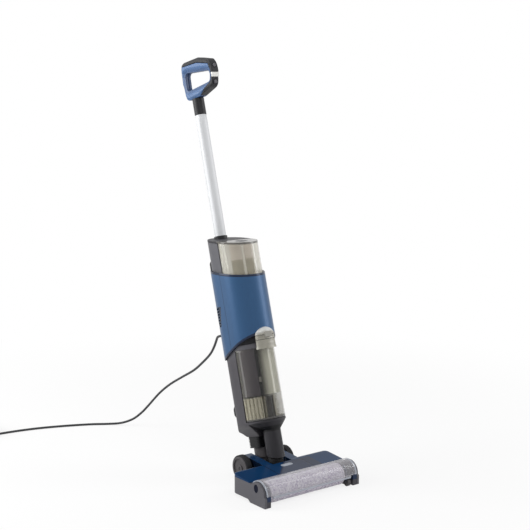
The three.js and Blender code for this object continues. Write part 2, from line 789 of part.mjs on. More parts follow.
// motor shell in two halves, with slanted rims, side vents and the cord's hole
const ventBottom = motorBayFloor + 30;
const ventTop = motorBayRoof - 29;
const ventFront = 5; // of the top slot
const ventLength = 29;
const ventDrift = 0.25; // each slot lies further back than the one above
const ventPitch = 7.4;
const ventSlot = 4;
const ventInner = shellRadius / 2; // the slots cut only the sides
{
  const ring = bodyColumn(shellRadius, 0, far)
    .subtract(bodyColumn(shellRadius - shellWall, -1, far + 1))
    .subtract(above(shellTop, rimSlope))
    .subtract(below(shellBottom, shellBottomSlope))
    .subtract(below(shellRearBottom, 0));
  add(upright, "front_shell", blue, ring.intersect(frontOf(seamY - gap / 2)));
  let rear = ring.intersect(rearOf(seamY + gap / 2));
  for (let z = ventBottom; z + ventSlot <= ventTop; z += ventPitch) {
    const y0 = ventFront + ventDrift * (ventTop - z);
    for (const [x0, x1] of [[-far, -ventInner], [ventInner, far]]) {
      rear = rear.subtract(box(x0, x1, y0, y0 + ventLength, z, z + ventSlot));
    }
  }
  rear = rear.subtract(roundY(0, glandZ, glandRadius + gap, sectionRear, far));
  add(upright, "rear_shell", blue, rear);
}

// suction motor, fan, control board, pump and hose in the motor bay
const motorY = -12;
const motorRadius = 30;
const fanRadius = 34;
const motorHeight = 58;
const motorTop = motorBayFloor + motorHeight;
const fanBase = motorTop + 6;
{
  const can = roundZ(0, motorY, motorRadius, motorBayFloor + gap, motorTop, 32)
    .add(roundZ(0, motorY, motorRadius + 8, motorBayFloor + gap, motorBayFloor + 8, 32))
    .add(roundZ(0, motorY, 4, motorTop - 1, fanBase + 22, 16));
  add(upright, "suction_motor", steel, can);
  const vane = (i) => {
    const geometry = new THREE.BoxGeometry(fanRadius - 10, 1.6, 16);
    geometry.translate((fanRadius + 10) / 2 - 1, 0, fanBase + 9);
    geometry.rotateZ((2 * Math.PI * i) / 9).translate(0, motorY, 0);
    return solidOf(geometry);
  };
  let fan = roundZ(0, motorY, fanRadius, fanBase, fanBase + 2, 36).add(
    roundZ(0, motorY, 11, fanBase, fanBase + 18, 24),
  );
  for (let i = 0; i < 9; i += 1) fan = fan.add(vane(i));
  fan = fan.subtract(roundZ(0, motorY, 4 + gap, 0, far, 16));
  add(upright, "impeller", aluminium, fan);
  const card = box(-24, 24, boardY, boardY + 1.6, boardBottom, boardTop);
  add(upright, "control_board", board, card);
  const pumpTop = motorBayFloor + 32;
  const pump = box(
    pumpX - 10,
    pumpX + 10,
    pumpY - 7,
    pumpY + 6,
    motorBayFloor + gap,
    pumpTop,
  ).add(roundZ(pumpX, pumpY, 5.5, pumpTop - 1, pumpTop + 12, 16));
  add(upright, "water_pump", black, pump.subtract(roundZ(pumpX, pumpY, 2, 0, far, 12)));
  const hoseRoute = [
    [pumpX, pumpY, motorBayFloor - 0.5],
    [pumpX, pumpY, dirtyTankTop - 2],
    [16, pumpY, 200],
    [8, pumpY - 6, 140],
    [8, pumpY - 10, tankSeat + 1],
  ];
  add(upright, "water_hose", clear, pipe(hoseRoute, 3.5, 2, 10, 4));
}

/** Front part of the plan between two heights, left behind by a wall inset. */
const tankColumn = (inset, z0, z1, front = sectionFront) =>
  bodyColumn(innerRadius - inset, z0, z1, front).intersect(frontOf(spineFace - gap - inset));

/** Round plug square to the slanted rim. */
function roundOnRim(y, radius, depth0, depth1, segments = 28) {
  const geometry = new THREE.CylinderGeometry(radius, radius, depth1 - depth0, segments);
  geometry.rotateX(Math.PI / 2).translate(0, 0, (depth0 + depth1) / 2);
  geometry.rotateX(Math.atan(rimSlope)).translate(0, y, bodyTop + rimSlope * y);
  return solidOf(geometry);
}
const fillerY = -48;
const fillerRadius = 16;
{
  const tank = tankColumn(0, cleanTankBottom, far)
    .subtract(tankColumn(tankWall, cleanTankBottom + tankWall, far + 1))
    .subtract(above(capPlane - gap, rimSlope))
    .subtract(roundZ(30, -34, 5, 0, cleanTankBottom + 9, 16));
  add(upright, "clean_tank", smoke, tank);
  const valve = roundZ(30, -34, 5 - gap, cleanTankBottom + gap, cleanTankBottom + 7, 16).add(
    roundZ(30, -34, 8, cleanTankBottom + tankWall + gap, cleanTankBottom + 7, 16),
  );
  add(upright, "clean_tank_valve", rubber, valve);
  const lid = tankColumn(0, cleanTankBottom, far)
    .intersect(above(capPlane, rimSlope))
    .subtract(above(bodyTop, rimSlope))
    .subtract(roundOnRim(fillerY, fillerRadius + gap, -20, 20));
  add(upright, "clean_tank_lid", smoke, lid);
  const plug = roundOnRim(fillerY, fillerRadius, -capThickness - 3, 0);
  add(upright, "filler_cap", darkGrey, plug);
}

// dirty tank with its pipe, float, filter, lid, clear handle and latch
const pipeRadius = 13;
const dirtyColumn = (inset, z0, z1) => tankColumn(inset, z0, z1, dirtySectionFront);
const handleArch = new THREE.Shape();
handleArch.moveTo(-latchHalf - 4, dirtyTankTop - 5);
handleArch.lineTo(latchHalf + 4, dirtyTankTop - 5);
handleArch.lineTo(latchHalf + 2, latchTop - 20);
handleArch.quadraticCurveTo(latchHalf - 2, latchTop, 0, latchTop);
handleArch.quadraticCurveTo(-latchHalf + 2, latchTop, -latchHalf - 2, latchTop - 20);
handleArch.closePath();
{
  const floorHole = roundZ(0, columnY, pipeRadius - 2, 0, tankSeat + 9);
  const tank = dirtyColumn(0, tankSeat + gap, dirtyTankTop)
    .subtract(dirtyColumn(tankWall, tankSeat + gap + tankWall, far))
    .subtract(floorHole);
  add(upright, "dirty_tank", smoke, tank);
  const pipeFoot = tankSeat + tankWall + 2 * gap;
  add(
    upright,
    "inlet_pipe",
    darkGrey,
    ringZ(0, columnY, pipeRadius, pipeRadius - 2, pipeFoot, dirtyTankTop - 26, 24),
  );
  const floatTop = dirtyTankTop - floatDrop;
  const floatFoot = floatTop - floatHeight;
  const floatBore = pipeRadius + 0.6;
  add(upright, "float", white, ringZ(0, columnY, floatRadius, floatBore, floatFoot, floatTop, 28));
  const housing = dirtyColumn(filterInset, dirtyTankTop - filterDrop, dirtyTankTop);
  const hollow = dirtyColumn(filterInset + filterWall, 0, dirtyTankTop - 20);
  const filter = housing.subtract(hollow).subtract(roundZ(0, columnY, 16, 0, far, 24));
  add(upright, "tank_filter", darkGrey, filter);
  const lidTop = dirtyTankTop + dirtyLidThickness;
  const behind = shellFace + 26; // the shell's face has curved away here
  const tongue = box(-20, 20, -far, behind, dirtyTankTop + gap, lidTop).intersect(
    bodyColumn(shellRadius + gap, 0, far),
  );
  const lid = dirtyColumn(0, dirtyTankTop + gap, lidTop)
    .add(tongue)
    .subtract(dirtyColumn(tankWall + 2, dirtyTankTop, lidTop - 3).subtract(tongue));
  add(upright, "dirty_tank_lid", darkGrey, lid);
  const reach = -latchFront + sectionFront;
  const hood = prismY(handleArch, latchFront - 2, behind + 10)
    .intersect(bodyColumn(reach, 0, far))
    .subtract(bodyColumn(shellRadius + 2 * gap, 0, far));
  const pocket = bodyColumn(reach - 3, 0, far).intersect(
    box(-latchHalf + 2, latchHalf - 2, latchFront, behind, lidTop + 4, latchTop - 9),
  );
  const latchLow = latchTop - 27;
  const latchHigh = latchTop - 13;
  const latchHole = box(
    -11 - gap,
    11 + gap,
    latchFront - 2,
    behind,
    latchLow - gap,
    latchHigh + gap,
  );
  add(upright, "tank_handle", clear, hood.subtract(pocket).subtract(latchHole));
  const latch = box(-11, 11, latchFront - 1, shellFace - 4, latchLow, latchHigh);
  add(upright, "tank_latch", darkGrey, latch);
}

// aluminium tube and its collar
const tubeBore = tubeRadius - tubeWall;
add(upright, "wand_tube", aluminium, ringZ(0, tubeY, tubeRadius, tubeBore, tubeBottom, tubeTop, 32));
const collarTop = bodyTop + rimSlope * tubeY + 6;
add(
  upright,
  "tube_collar",
  black,
  ringZ(0, tubeY, collarRadius, tubeRadius + gap, tubeSocketTop + gap, collarTop, 32),
);

// cord hooks and the strain relief
const hookReach = spineRear + 32;
const hookTop = bodyTop - 41;
const hookPivotZ = hookTop - 13;
{
  const plateOf = (low, high) => {
    const plate = new THREE.Shape();
    plate.absarc(0, high - 12, 12, 0, Math.PI, false);
    plate.absarc(0, low + 12, 12, Math.PI, 2 * Math.PI, false);
    return prismY(plate, hookReach - 7, hookReach, 8);
  };
  const upper = plateOf(hookTop - 54, hookTop).add(roundY(0, hookPivotZ, 8, spineRear + gap, hookReach - 6));
  add(upright, "cord_hook_upper", black, upper);
  const stem = box(-7, 7, spineRear + gap, hookReach - 6, tankSeat + 14, tankSeat + 36);
  const lower = plateOf(tankSeat + 8, tankSeat + 42).add(stem);
  add(upright, "cord_hook_lower", black, lower);
}
const shellRear = sectionRear + shellRadius;
const glandEnd = shellRear + 38;
const cordRadius = 3.3;
{
  const boot = new THREE.CylinderGeometry(5, 7, glandEnd - shellRear - 2, 20);
  boot.translate(0, (glandEnd + shellRear + 2) / 2, glandZ);
  const gland = roundY(0, glandZ, glandRadius, spineRear + gap, shellRear + 3, 20)
    .add(roundY(0, glandZ, glandRadius + 3, shellRear + gap, shellRear + 3, 20))
    .add(solidOf(boot));
  const mouth = roundY(0, glandZ, cordRadius + gap, glandEnd - 8, glandEnd + 1, 12);
  add(upright, "cord_gland", cordBlack, gland.subtract(mouth));
}

// ---------------------------------------------------------------- handle
// Drawn from its own floor and the tube's axis.
const handleOuter = new THREE.Shape();
handleOuter.moveTo(20, 0);
handleOuter.lineTo(-24, 0);
handleOuter.lineTo(-70, 9);
handleOuter.quadraticCurveTo(-86, 11, -90, 24);
handleOuter.lineTo(-97, 48);
handleOuter.quadraticCurveTo(-98, 73, -84, 85);
handleOuter.lineTo(-44, 99);
handleOuter.lineTo(20, 103);
handleOuter.quadraticCurveTo(40, 103, 41, 87);
handleOuter.lineTo(44, 51);
handleOuter.lineTo(39, 18);
handleOuter.quadraticCurveTo(37, 1, 20, 0);

const fingerHole = new THREE.Shape();
fingerHole.moveTo(16, 73);
fingerHole.lineTo(-70, 57);
fingerHole.quadraticCurveTo(-82, 55, -82, 44);
fingerHole.lineTo(-80, 36);
fingerHole.quadraticCurveTo(-78, 27, -69, 26.5);
fingerHole.lineTo(20, 26);
fingerHole.quadraticCurveTo(31, 26, 31, 37);
fingerHole.lineTo(30, 63);
fingerHole.quadraticCurveTo(29, 75, 16, 73);

/** Side view of the inner, coloured part of the handle; the cover wraps round its front. */
const innerEdge = outline([
  [80, 93],
  [34, 94],
  [-37, 87],
  [-87, 71],
  [-90, 46],
  [-86, 29],
  [-54, 14],
  [-14, -7],
  [80, -7],
]);
const bandSide = -91; // the band's ends on the sides
const bandBack = -92.5; // its inner face at the front
const bandProud = 0.6;
const buttonSeat = 9; // half width of what stays of the cover behind the band
const buttonBack = -86.5;
const buttonProud = 1.6;
{
  const addHandle = (name, material, solid) =>
    add(upright, name, material, solid.translate([0, tubeY, handleFloor]));
  const whole = prismX(handleOuter, -handleHalf, handleHalf);
  const hole = prismX(fingerHole, -far, far);
  const core = prismX(innerEdge, -far, far);
  const bore = (z) => roundY(0, z, buttonRadius + gap, -far, buttonBack + buttonTravel + gap, 20);
  const bores = bore(powerButtonZ).add(bore(modeButtonZ));
  const slotEnd = bandSide + gap;
  const bandSlot = box(-far, far, -far, slotEnd, bandBottom - gap, bandTop + gap).subtract(
    box(-buttonSeat, buttonSeat, bandBack + gap, far, -far, far),
  );
  const cover = whole.subtract(core).subtract(hole).subtract(bores).subtract(bandSlot);
  addHandle("handle_cover", black, cover);
  const inside = whole
    .intersect(core.translate([0, gap, gap]))
    .intersect(core.translate([0, gap, -gap]))
    .subtract(hole)
    .subtract(bores);
  const leftOf = box(-far, -gap / 2, -far, far, -far, far);
  const rightOf = box(gap / 2, far, -far, far, -far, far);
  addHandle("handle_left", blue, inside.intersect(leftOf));
  addHandle("handle_right", blue, inside.intersect(rightOf));
  const bandSeat = buttonSeat + gap;
  const band = prismX(handleOuter, -handleHalf - bandProud, handleHalf + bandProud)
    .translate([0, -bandProud, 0])
    .intersect(box(-far, far, -far, bandSide, bandBottom, bandTop))
    .subtract(box(-bandSeat, bandSeat, bandBack, far, -far, far));
  addHandle("handle_band", white, band);
  const buttonFaces = whole.translate([0, -buttonProud, 0]);
  const button = (name, z) => {
    const pin = roundY(0, z, buttonRadius, -far, buttonBack, 20);
    addHandle(name, grey, pin.intersect(buttonFaces));
  };
  button("power_button", powerButtonZ);
  button("mode_button", modeButtonZ);
  const neck = roundZ(0, tubeY, neckRadius, tubeTop + gap, handleFloor - gap, 32).add(
    roundZ(0, tubeY, tubeRadius - tubeWall - gap, tubeTop - 28, tubeTop + 1, 28),
  );
  add(upright, "handle_neck", black, neck);
}

// ================================================================ power cord
// Out of the strain relief, down to the floor and away to the left, then a tied coil and the plug.
// Its points stand in the finished machine's frame: floor at zero, the head's box centred.
const cordRoute = [
  [0, 106.3, 339.2],
  [0, 120.7, 335.2],
  [1.2, 128.2, 332.5],
  [3.4, 135.3, 328.8],
  [6.4, 141.8, 324.1],
  [14, 165, 298.5],
  [18.5, 190, 272],
  [22, 241, 233],
  [22, 277, 208],
  [20, 338, 175],
  [18, 387, 148],
  [14, 415, 129],
  [8, 441, 107],
  [0, 458, 87],
  [-9, 473, 67],
  [-21, 491, 44],
  [-38, 513, 22],
  [-62, 539, 8],
  [-92, 566, 3.8],
  [-128, 590, 3.6],
  [-172, 612, 3.6],
  [-222, 633, 3.6],
  [-275, 651, 3.6],
  [-330, 663, 3.6],
  [-385, 669.5, 3.6],
  [-440, 672, 3.6],
];
const [cordEndX, cordEndY] = cordRoute.at(-1);
const coilX = cordEndX - 6;
const coilInner = 27;
const coilOuter = 60;
const coilHeight = 33;
const coilY = cordEndY + cordRadius + gap + coilOuter; // the cord's end lies against the coil
const sleeveOuter = 5;
const plugHalf = 13;
const plugLength = 34;
const plugCentreZ = 10.5;
{
  const section = new THREE.Shape().absarc(0, 0, cordRadius, 0, 2 * Math.PI, false);
  const route = new THREE.CatmullRomCurve3(cordRoute.map((p) => new THREE.Vector3(...p)));
  const options = { steps: 60, extrudePath: route, curveSegments: 4, bevelEnabled: false };
  add(lead, "cord", cordBlack, solidOf(new THREE.ExtrudeGeometry(section, options)));
  const ring = [
    new THREE.Vector2(coilInner, gap),
    new THREE.Vector2(coilOuter, gap),
    new THREE.Vector2(coilOuter, gap + coilHeight),
    new THREE.Vector2(coilInner, gap + coilHeight),
    new THREE.Vector2(coilInner, gap),
  ];
  const coil = new THREE.LatheGeometry(ring, 32).rotateX(Math.PI / 2);
  add(lead, "cord_coil", cordBlack, solidOf(coil.translate(coilX, coilY, 0)));
  const plugX = coilX - coilOuter - gap - sleeveOuter;
  const bodyFront = coilY + 32; // where its corner clears the round of the coil
  const bodyEnd = bodyFront + plugLength;
  const side = outline([
    [-plugHalf, -6],
    [-plugHalf + 4, -10],
    [plugHalf - 4, -10],
    [plugHalf, -6],
    [plugHalf, 6],
    [plugHalf - 4, 10],
    [-plugHalf + 4, 10],
    [-plugHalf, 6],
  ]);
  const blade = (x, half) => box(x - 0.8, x + 0.8, bodyEnd - 1, bodyEnd + 17, -half, half);
  const plug = prismY(side, bodyFront, bodyEnd)
    .add(roundY(0, 0, sleeveOuter, coilY - 2, bodyFront + 1, 16))
    .add(blade(-6.35, 3.2))
    .add(blade(6.35, 4));
  add(lead, "plug", cordBlack, plug.translate([plugX, 0, plugCentreZ]));
}

// ================================================================ whole machine
const model = new THREE.Group();
model.name = "floor_washer";
const machine = new THREE.Group();
machine.add(head, yoke, upright);
machine.updateMatrixWorld(true);
const bounds = new THREE.Box3().setFromObject(machine, true);
machine.position.set(
  -(bounds.min.x + bounds.max.x) / 2,
  -(bounds.min.y + bounds.max.y) / 2,
  -bounds.min.z,
);
model.add(machine, lead);

export default model;
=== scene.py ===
"""The dressed wet and dry floor washer: finishes, smooth surfaces and its power cord."""

import json
import math

import bmesh
import bpy
import numpy as np
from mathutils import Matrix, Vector


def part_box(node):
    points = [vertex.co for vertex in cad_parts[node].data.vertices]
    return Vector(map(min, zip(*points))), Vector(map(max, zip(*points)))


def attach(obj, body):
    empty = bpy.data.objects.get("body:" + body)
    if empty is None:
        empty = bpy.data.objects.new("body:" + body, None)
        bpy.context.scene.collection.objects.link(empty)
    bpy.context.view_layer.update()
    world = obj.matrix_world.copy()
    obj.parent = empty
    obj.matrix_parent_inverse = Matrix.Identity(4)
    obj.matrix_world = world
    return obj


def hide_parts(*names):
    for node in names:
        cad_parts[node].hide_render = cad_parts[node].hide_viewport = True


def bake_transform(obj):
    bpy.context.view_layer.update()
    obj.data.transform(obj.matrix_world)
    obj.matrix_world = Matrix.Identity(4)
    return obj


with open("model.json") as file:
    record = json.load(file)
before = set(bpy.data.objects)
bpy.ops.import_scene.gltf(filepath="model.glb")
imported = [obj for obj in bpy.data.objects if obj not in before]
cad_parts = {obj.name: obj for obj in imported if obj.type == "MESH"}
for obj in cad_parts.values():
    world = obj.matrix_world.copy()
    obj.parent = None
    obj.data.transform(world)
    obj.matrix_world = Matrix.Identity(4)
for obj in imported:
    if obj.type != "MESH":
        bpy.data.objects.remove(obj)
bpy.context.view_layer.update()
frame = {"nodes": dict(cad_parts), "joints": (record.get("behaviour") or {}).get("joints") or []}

# ------------------------------------------------------------------ camera
# A long lens a little above the water tank, looking down on the machine from its front left. Its
# frame is shifted up a little, so that the machine stands low in the picture.
look_at = Vector((0, -0.078, 0.52))
view_turn = math.radians(-37.36)
view_rise = math.radians(9.58)
view_distance = 3.0
camera_side = Vector(
    (
        math.sin(view_turn) * math.cos(view_rise),
        -math.cos(view_turn) * math.cos(view_rise),
        math.sin(view_rise),
    )
)
focal_length = 80.9
shift_right, shift_up = 0.0007, 0.0244


def placed(name, data):
    """A new object of that name, linked to the scene."""
    thing = bpy.data.objects.new(name, data)
    bpy.context.scene.collection.objects.link(thing)
    return thing


camera = placed("camera", bpy.data.cameras.new("camera"))
camera.location = look_at + view_distance * camera_side
camera.rotation_euler = camera_side.to_track_quat("Z", "Y").to_euler()
camera.data.lens = focal_length
camera.data.shift_x = shift_right
camera.data.shift_y = shift_up
bpy.context.scene.camera = camera
bpy.context.scene.view_settings.view_transform = "Standard"

# ------------------------------------------------------------------ power cord
# A round black flex of 6.6 mm in soft PVC. It leaves the back of the motor housing, falls to the
# floor and runs off to the left, where its spare length is wound into a coil beside its plug.
def maths(operation, swapped=False):
    """A method of Value that adds one Math node of that operation."""

    def method(self, other=0):
        inputs = {0: other, 1: self} if swapped else {0: self, 1: other}
        return self.finish.node("ShaderNodeMath", {"operation": operation}, inputs)

    return method


class Value:
    """A number on its way to a shader; arithmetic with it adds the Math nodes it needs."""

    def __init__(self, finish, socket):
        self.finish = finish
        self.socket = socket

    __add__ = __radd__ = maths("ADD")
    __sub__ = maths("SUBTRACT")
    __rsub__ = maths("SUBTRACT", swapped=True)
    __mul__ = __rmul__ = maths("MULTIPLY")
    __pow__ = maths("POWER")
    __mod__ = maths("FLOORED_MODULO")
    __abs__ = maths("ABSOLUTE")
    least = maths("MINIMUM")
    most = maths("MAXIMUM")


class Finish:
    """A material named for its surface, with its nodes built round one Principled shader."""

    def __init__(self, name, **sockets):
        self.material = bpy.data.materials.new(name)
        self.material.use_nodes = True
        self.tree = self.material.node_tree
        self.shader = self.tree.nodes["Principled BSDF"]
        self.place = self.node("ShaderNodeTexCoord", {}, {}, "Object")
        self.feed(**sockets)

    def put(self, socket, value):
        """Links a Value to a socket, or sets the socket to a plain number or colour."""
        if isinstance(value, Value):
            self.tree.links.new(value.socket, socket)
        elif isinstance(value, tuple) and socket.type == "RGBA":
            socket.default_value = (*value, 1)
        else:
            socket.default_value = value

    def feed(self, **sockets):
        """Base_Color=..., Roughness=...: a number, a colour or a Value for each named socket."""
        for name, value in sockets.items():
            self.put(self.shader.inputs[name.replace("_", " ")], value)

    def node(self, kind, settings, inputs, output=0):
        """A new node with its settings, then its inputs; what it gives is one of its outputs."""
        node = self.tree.nodes.new(kind)
        for name, value in settings.items():
            setattr(node, name, value)
        for name, value in inputs.items():
            self.put(node.inputs[name], value)
        return Value(self, node.outputs[output])

    def noise(self, scale, stretch=(1, 1, 1), detail=2.0, place=None):
        """Smooth random values from 0 to 1, with a cell of about 1 / scale metres."""
        inputs = {0: place or self.place, 1: stretch}
        place = self.node("ShaderNodeVectorMath", {"operation": "MULTIPLY"}, inputs)
        return self.node("ShaderNodeTexNoise", {}, {"Vector": place, "Scale": scale, "Detail": detail})

    def cells(self, scale, output="Distance"):
        """Distance to the nearest of scattered points, or a random colour for each cell."""
        inputs = {"Vector": self.place, "Scale": scale}
        return self.node("ShaderNodeTexVoronoi", {}, inputs, output)

    def along(self, axis, place=None):
        """One coordinate of the piece, in metres."""
        return self.node("ShaderNodeSeparateXYZ", {}, {0: place or self.place}, axis)

    def rise(self, value, low, high):
        """0 below low, 1 above high, smooth between."""
        inputs = {0: value, 1: low, 2: high}
        return self.node("ShaderNodeMapRange", {"interpolation_type": "SMOOTHSTEP"}, inputs)

    def band(self, value, start, full, fading, end):
        """0 up to start, 1 from full to fading, 0 again past end, smooth between."""
        return self.rise(value, start, full) * (1 - self.rise(value, fading, end))

    def line(self, value, middle, half, faded):
        """1 within half of the middle, 0 past faded from it, smooth between."""
        return 1 - self.rise(abs(value - middle), half, faded)

    def between(self, amount, first, second):
        """A colour part of the way from the first to the second."""
        inputs = {0: amount, 6: first, 7: second}
        return self.node("ShaderNodeMix", {"data_type": "RGBA"}, inputs, 2)

    def painted(self, colour, *coats):
        """A colour with further ones laid over it in turn, each where its own mask is 1."""
        for mask, coat in coats:
            colour = self.between(mask, colour, coat)
        return colour

    def bump(self, height, depth):
        """A normal that leans with the height, full height standing depth metres proud."""
        return self.node("ShaderNodeBump", {}, {"Height": height, "Distance": depth})


def tone(red, green, blue):
    """A colour written in display values of 0 to 255, as the linear light a shader works in."""
    shares = np.array([red, green, blue]) / 255
    low = shares / 12.92
    high = ((shares + 0.055) / 1.055) ** 2.4
    return tuple(float(v) for v in np.where(shares <= 0.04045, low, high))


def shade(colour, factor):
    """A colour made darker or lighter by a factor, with no channel past 1."""
    return tuple(min(channel * factor, 1) for channel in colour)


def moulded(name, colour, roughness, grain=0.00003, **sockets):
    """Moulded plastic: a fine even grain, and a faint cloudiness in its colour and gloss."""
    finish = Finish(name, **{"Specular_IOR_Level": 0.28, **sockets})
    broad = finish.noise(11, detail=3)
    fine = finish.noise(1100)
    finish.feed(
        Base_Color=finish.between(broad, shade(colour, 0.93), shade(colour, 1.07)),
        Roughness=roughness + 0.1 * (broad - 0.5) + 0.08 * (fine - 0.5),
        Normal=finish.bump(fine, grain),
    )
    return finish


def grid_piece(name, points, wrap_rows=False, wrap_columns=True, measures=None):
    """Faces over a grid of points; doubled points at seams and poles are merged.

    With measures, two lists of lengths along the rows and the columns make a UV map.
    """
    rows, columns = points.shape[:2]
    index = np.arange(rows * columns).reshape(rows, columns)
    if wrap_rows:
        index = np.concatenate([index, index[:1]], axis=0)
    if wrap_columns:
        index = np.concatenate([index, index[:, :1]], axis=1)
    corners = np.stack([index[:-1, :-1], index[:-1, 1:], index[1:, 1:], index[1:, :-1]], axis=-1)
    mesh = bpy.data.meshes.new(name)
    mesh.from_pydata(points.reshape(-1, 3).tolist(), [], corners.reshape(-1, 4).tolist())
    if measures is not None:
        u, v = np.meshgrid(*measures, indexing="ij")
        uv = np.stack([u, v], axis=-1)
        loops = np.stack([uv[:-1, :-1], uv[:-1, 1:], uv[1:, 1:], uv[1:, :-1]], axis=2)
        mesh.uv_layers.new(name="UVMap").data.foreach_set("uv", loops.ravel())
    tidy(mesh)
    return placed(name, mesh)


def tidy(mesh, flat_angle=40, melt=0.0):
    """Merges doubled points, turns all faces outwards and smooths all but the sharp edges."""
    shape = bmesh.new()
    shape.from_mesh(mesh)
    bmesh.ops.remove_doubles(shape, verts=shape.verts, dist=1e-6)
    if melt:
        flat = math.radians(melt)
        bmesh.ops.dissolve_limit(shape, angle_limit=flat, verts=shape.verts, edges=shape.edges)
    finished(shape, mesh, flat_angle)


def finished(shape, mesh, flat_angle=40):
    """Puts a working shape back in its mesh, facing outwards and smooth but for its sharp edges."""
    bmesh.ops.recalc_face_normals(shape, faces=shape.faces)
    shape.to_mesh(mesh)
    shape.free()
    mesh.polygons.foreach_set("use_smooth", np.ones(len(mesh.polygons), bool))
    mesh.set_sharp_from_angle(angle=math.radians(flat_angle))


def smooth_route(points, per_span):
    """A centripetal Catmull-Rom curve: each span blends the four points round it in turn."""
    p = np.array(points, float)
    p = np.concatenate([[2 * p[0] - p[1]], p, [2 * p[-1] - p[-2]]])
    knot = np.concatenate([[0], np.cumsum(np.linalg.norm(np.diff(p, axis=0), axis=1) ** 0.5)])
    spans = []
    for i in range(1, len(p) - 2):
        t = np.linspace(knot[i], knot[i + 1], per_span, endpoint=False)[:, None]

        def mixed(a, b, low, high):
            return ((knot[high] - t) * a + (t - knot[low]) * b) / (knot[high] - knot[low])

        first = mixed(p[i - 1], p[i], i - 1, i)
        second = mixed(p[i], p[i + 1], i, i + 1)
        third = mixed(p[i + 1], p[i + 2], i + 1, i + 2)
        early = mixed(first, second, i - 1, i + 1)
        late = mixed(second, third, i, i + 2)
        spans.append(mixed(early, late, i, i + 1))
    return np.concatenate([*spans, p[-2:-1]])


def unit(vectors):
    """The same directions, each 1 long."""
    return vectors / np.linalg.norm(vectors, axis=-1, keepdims=True)


def steps(path):
    """Length along a path at each of its points."""
    return np.concatenate([[0], np.cumsum(np.linalg.norm(np.diff(path, axis=0), axis=1))])


def arc(radius, angle):
    """Points of a plane at a radius and an angle about its zero."""
    return np.stack([radius * np.cos(angle), radius * np.sin(angle)], axis=-1)


def swept(name, path, outline):
    """An outline carried along a path, set square to it, with both its ends drawn to a point.

    Its sideways axis is the path's direction x Z, so it never twists about the path. Its UV map
    runs along the path and round the outline, in metres.
    """
    along = unit(np.gradient(path, axis=0))
    side = unit(np.cross(along, (0, 0, 1)))
    over = np.cross(side, along)
    rings = path[:, None] + side[:, None] * outline[:, :1] + over[:, None] * outline[:, 1:]
    ends = [np.broadcast_to(path[k], rings[:1].shape) for k in (0, -1)]
    lengths = steps(path)
    round_lengths = steps(np.concatenate([outline, outline[:1]]))
    return grid_piece(
        name,
        np.concatenate([ends[0], rings, ends[1]]),
        measures=(np.concatenate([[0], lengths, lengths[-1:]]), round_lengths),
    )


def settle(piece, body, finish, slot, *nodes):
    """Gives a piece its finish, rides it on its body and stands it for CAD nodes; its slot is not used.
    """
    piece.data.materials.clear()
    piece.data.materials.append(finish.material)
    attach(piece, body)
    if nodes:
        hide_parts(*nodes)
    return piece


cord_radius = 0.0033
cord_route = [
    (0, 0.1063, 0.3392),
    (0, 0.1207, 0.3352),
    (0.0012, 0.1282, 0.3325),
    (0.0034, 0.1353, 0.3288),
    (0.0064, 0.1418, 0.3241),
    (0.014, 0.165, 0.2985),
    (0.0185, 0.190, 0.272),
    (0.022, 0.241, 0.233),
    (0.022, 0.277, 0.208),
    (0.020, 0.338, 0.175),
    (0.018, 0.387, 0.148),
    (0.014, 0.415, 0.129),
    (0.008, 0.441, 0.107),
    (0, 0.458, 0.087),
    (-0.009, 0.473, 0.067),
    (-0.021, 0.491, 0.044),
    (-0.038, 0.513, 0.022),
    (-0.062, 0.539, 0.008),
    (-0.092, 0.566, 0.0038),
    (-0.128, 0.590, 0.0036),
    (-0.172, 0.612, 0.0036),
    (-0.222, 0.633, 0.0036),
    (-0.275, 0.651, 0.0036),
    (-0.330, 0.663, 0.0036),
    (-0.385, 0.6695, 0.0036),
    (-0.440, 0.672, 0.0036),
]
coil_low, coil_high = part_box("cord_coil")
coil_middle = (np.array(coil_low) + np.array(coil_high)) / 2
outer_turn = (coil_high.x - coil_low.x) / 2 - cord_radius
turn_pitch = 2 * cord_radius + 0.00001
coil_columns = 5
full_layers = 4
wound_turns = full_layers * coil_columns + 0.75  # four full layers and part of a fifth
crossing = 0.25  # the part of a turn over which it moves on to the next column or layer
steps_per_turn = 40
plug_low, plug_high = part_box("plug")
plug_half = 0.013
plug_x = plug_high.x - plug_half
plug_z = 0.0105
full_turn = np.linspace(0, 2 * np.pi, 240, endpoint=False)


def about_coil(angle, radius, height):
    """Points at an angle and a radius about the coil's middle."""
    return np.concatenate([coil_middle[:2] + arc(radius, angle), height[:, None]], axis=1)


def eased_step(t):
    """0 to 1 with a level start and end, as 3 t^2 - 2 t^3."""
    t = np.clip(t, 0, 1)
    return t * t * (3 - 2 * t)


def wound():
    """Turns side by side, inwards on one layer and outwards on the next, with eased crossings."""
    turn = np.linspace(0, wound_turns, int(wound_turns * steps_per_turn) + 1)
    layer = np.floor(turn / coil_columns)
    inside = turn - layer * coil_columns
    column = np.floor(inside) + eased_step((inside % 1 - 1 + crossing) / crossing)
    column = np.minimum(column, coil_columns - 1)
    lift = eased_step((inside - coil_columns + crossing) / crossing)
    column = np.where(layer % 2 == 0, column, coil_columns - 1 - column)
    height = coil_low.z + cord_radius + turn_pitch * (layer + lift)
    return about_coil(-np.pi / 2 - 2 * np.pi * turn, outer_turn - turn_pitch * column, height)


def last_half_turn():
    """Off the fifth layer: out over the first quarter turn, down to the plug over the next."""
    t = np.linspace(0, 0.99, steps_per_turn // 2)
    plug_offset = coil_middle[0] - plug_x
    radius = outer_turn + (plug_offset - outer_turn) * eased_step(t / 0.5)
    top = coil_low.z + cord_radius + full_layers * turn_pitch
    height = top + (plug_z - top) * eased_step((t - 0.3) / 0.68)
    return about_coil(-np.pi * t, radius, height)


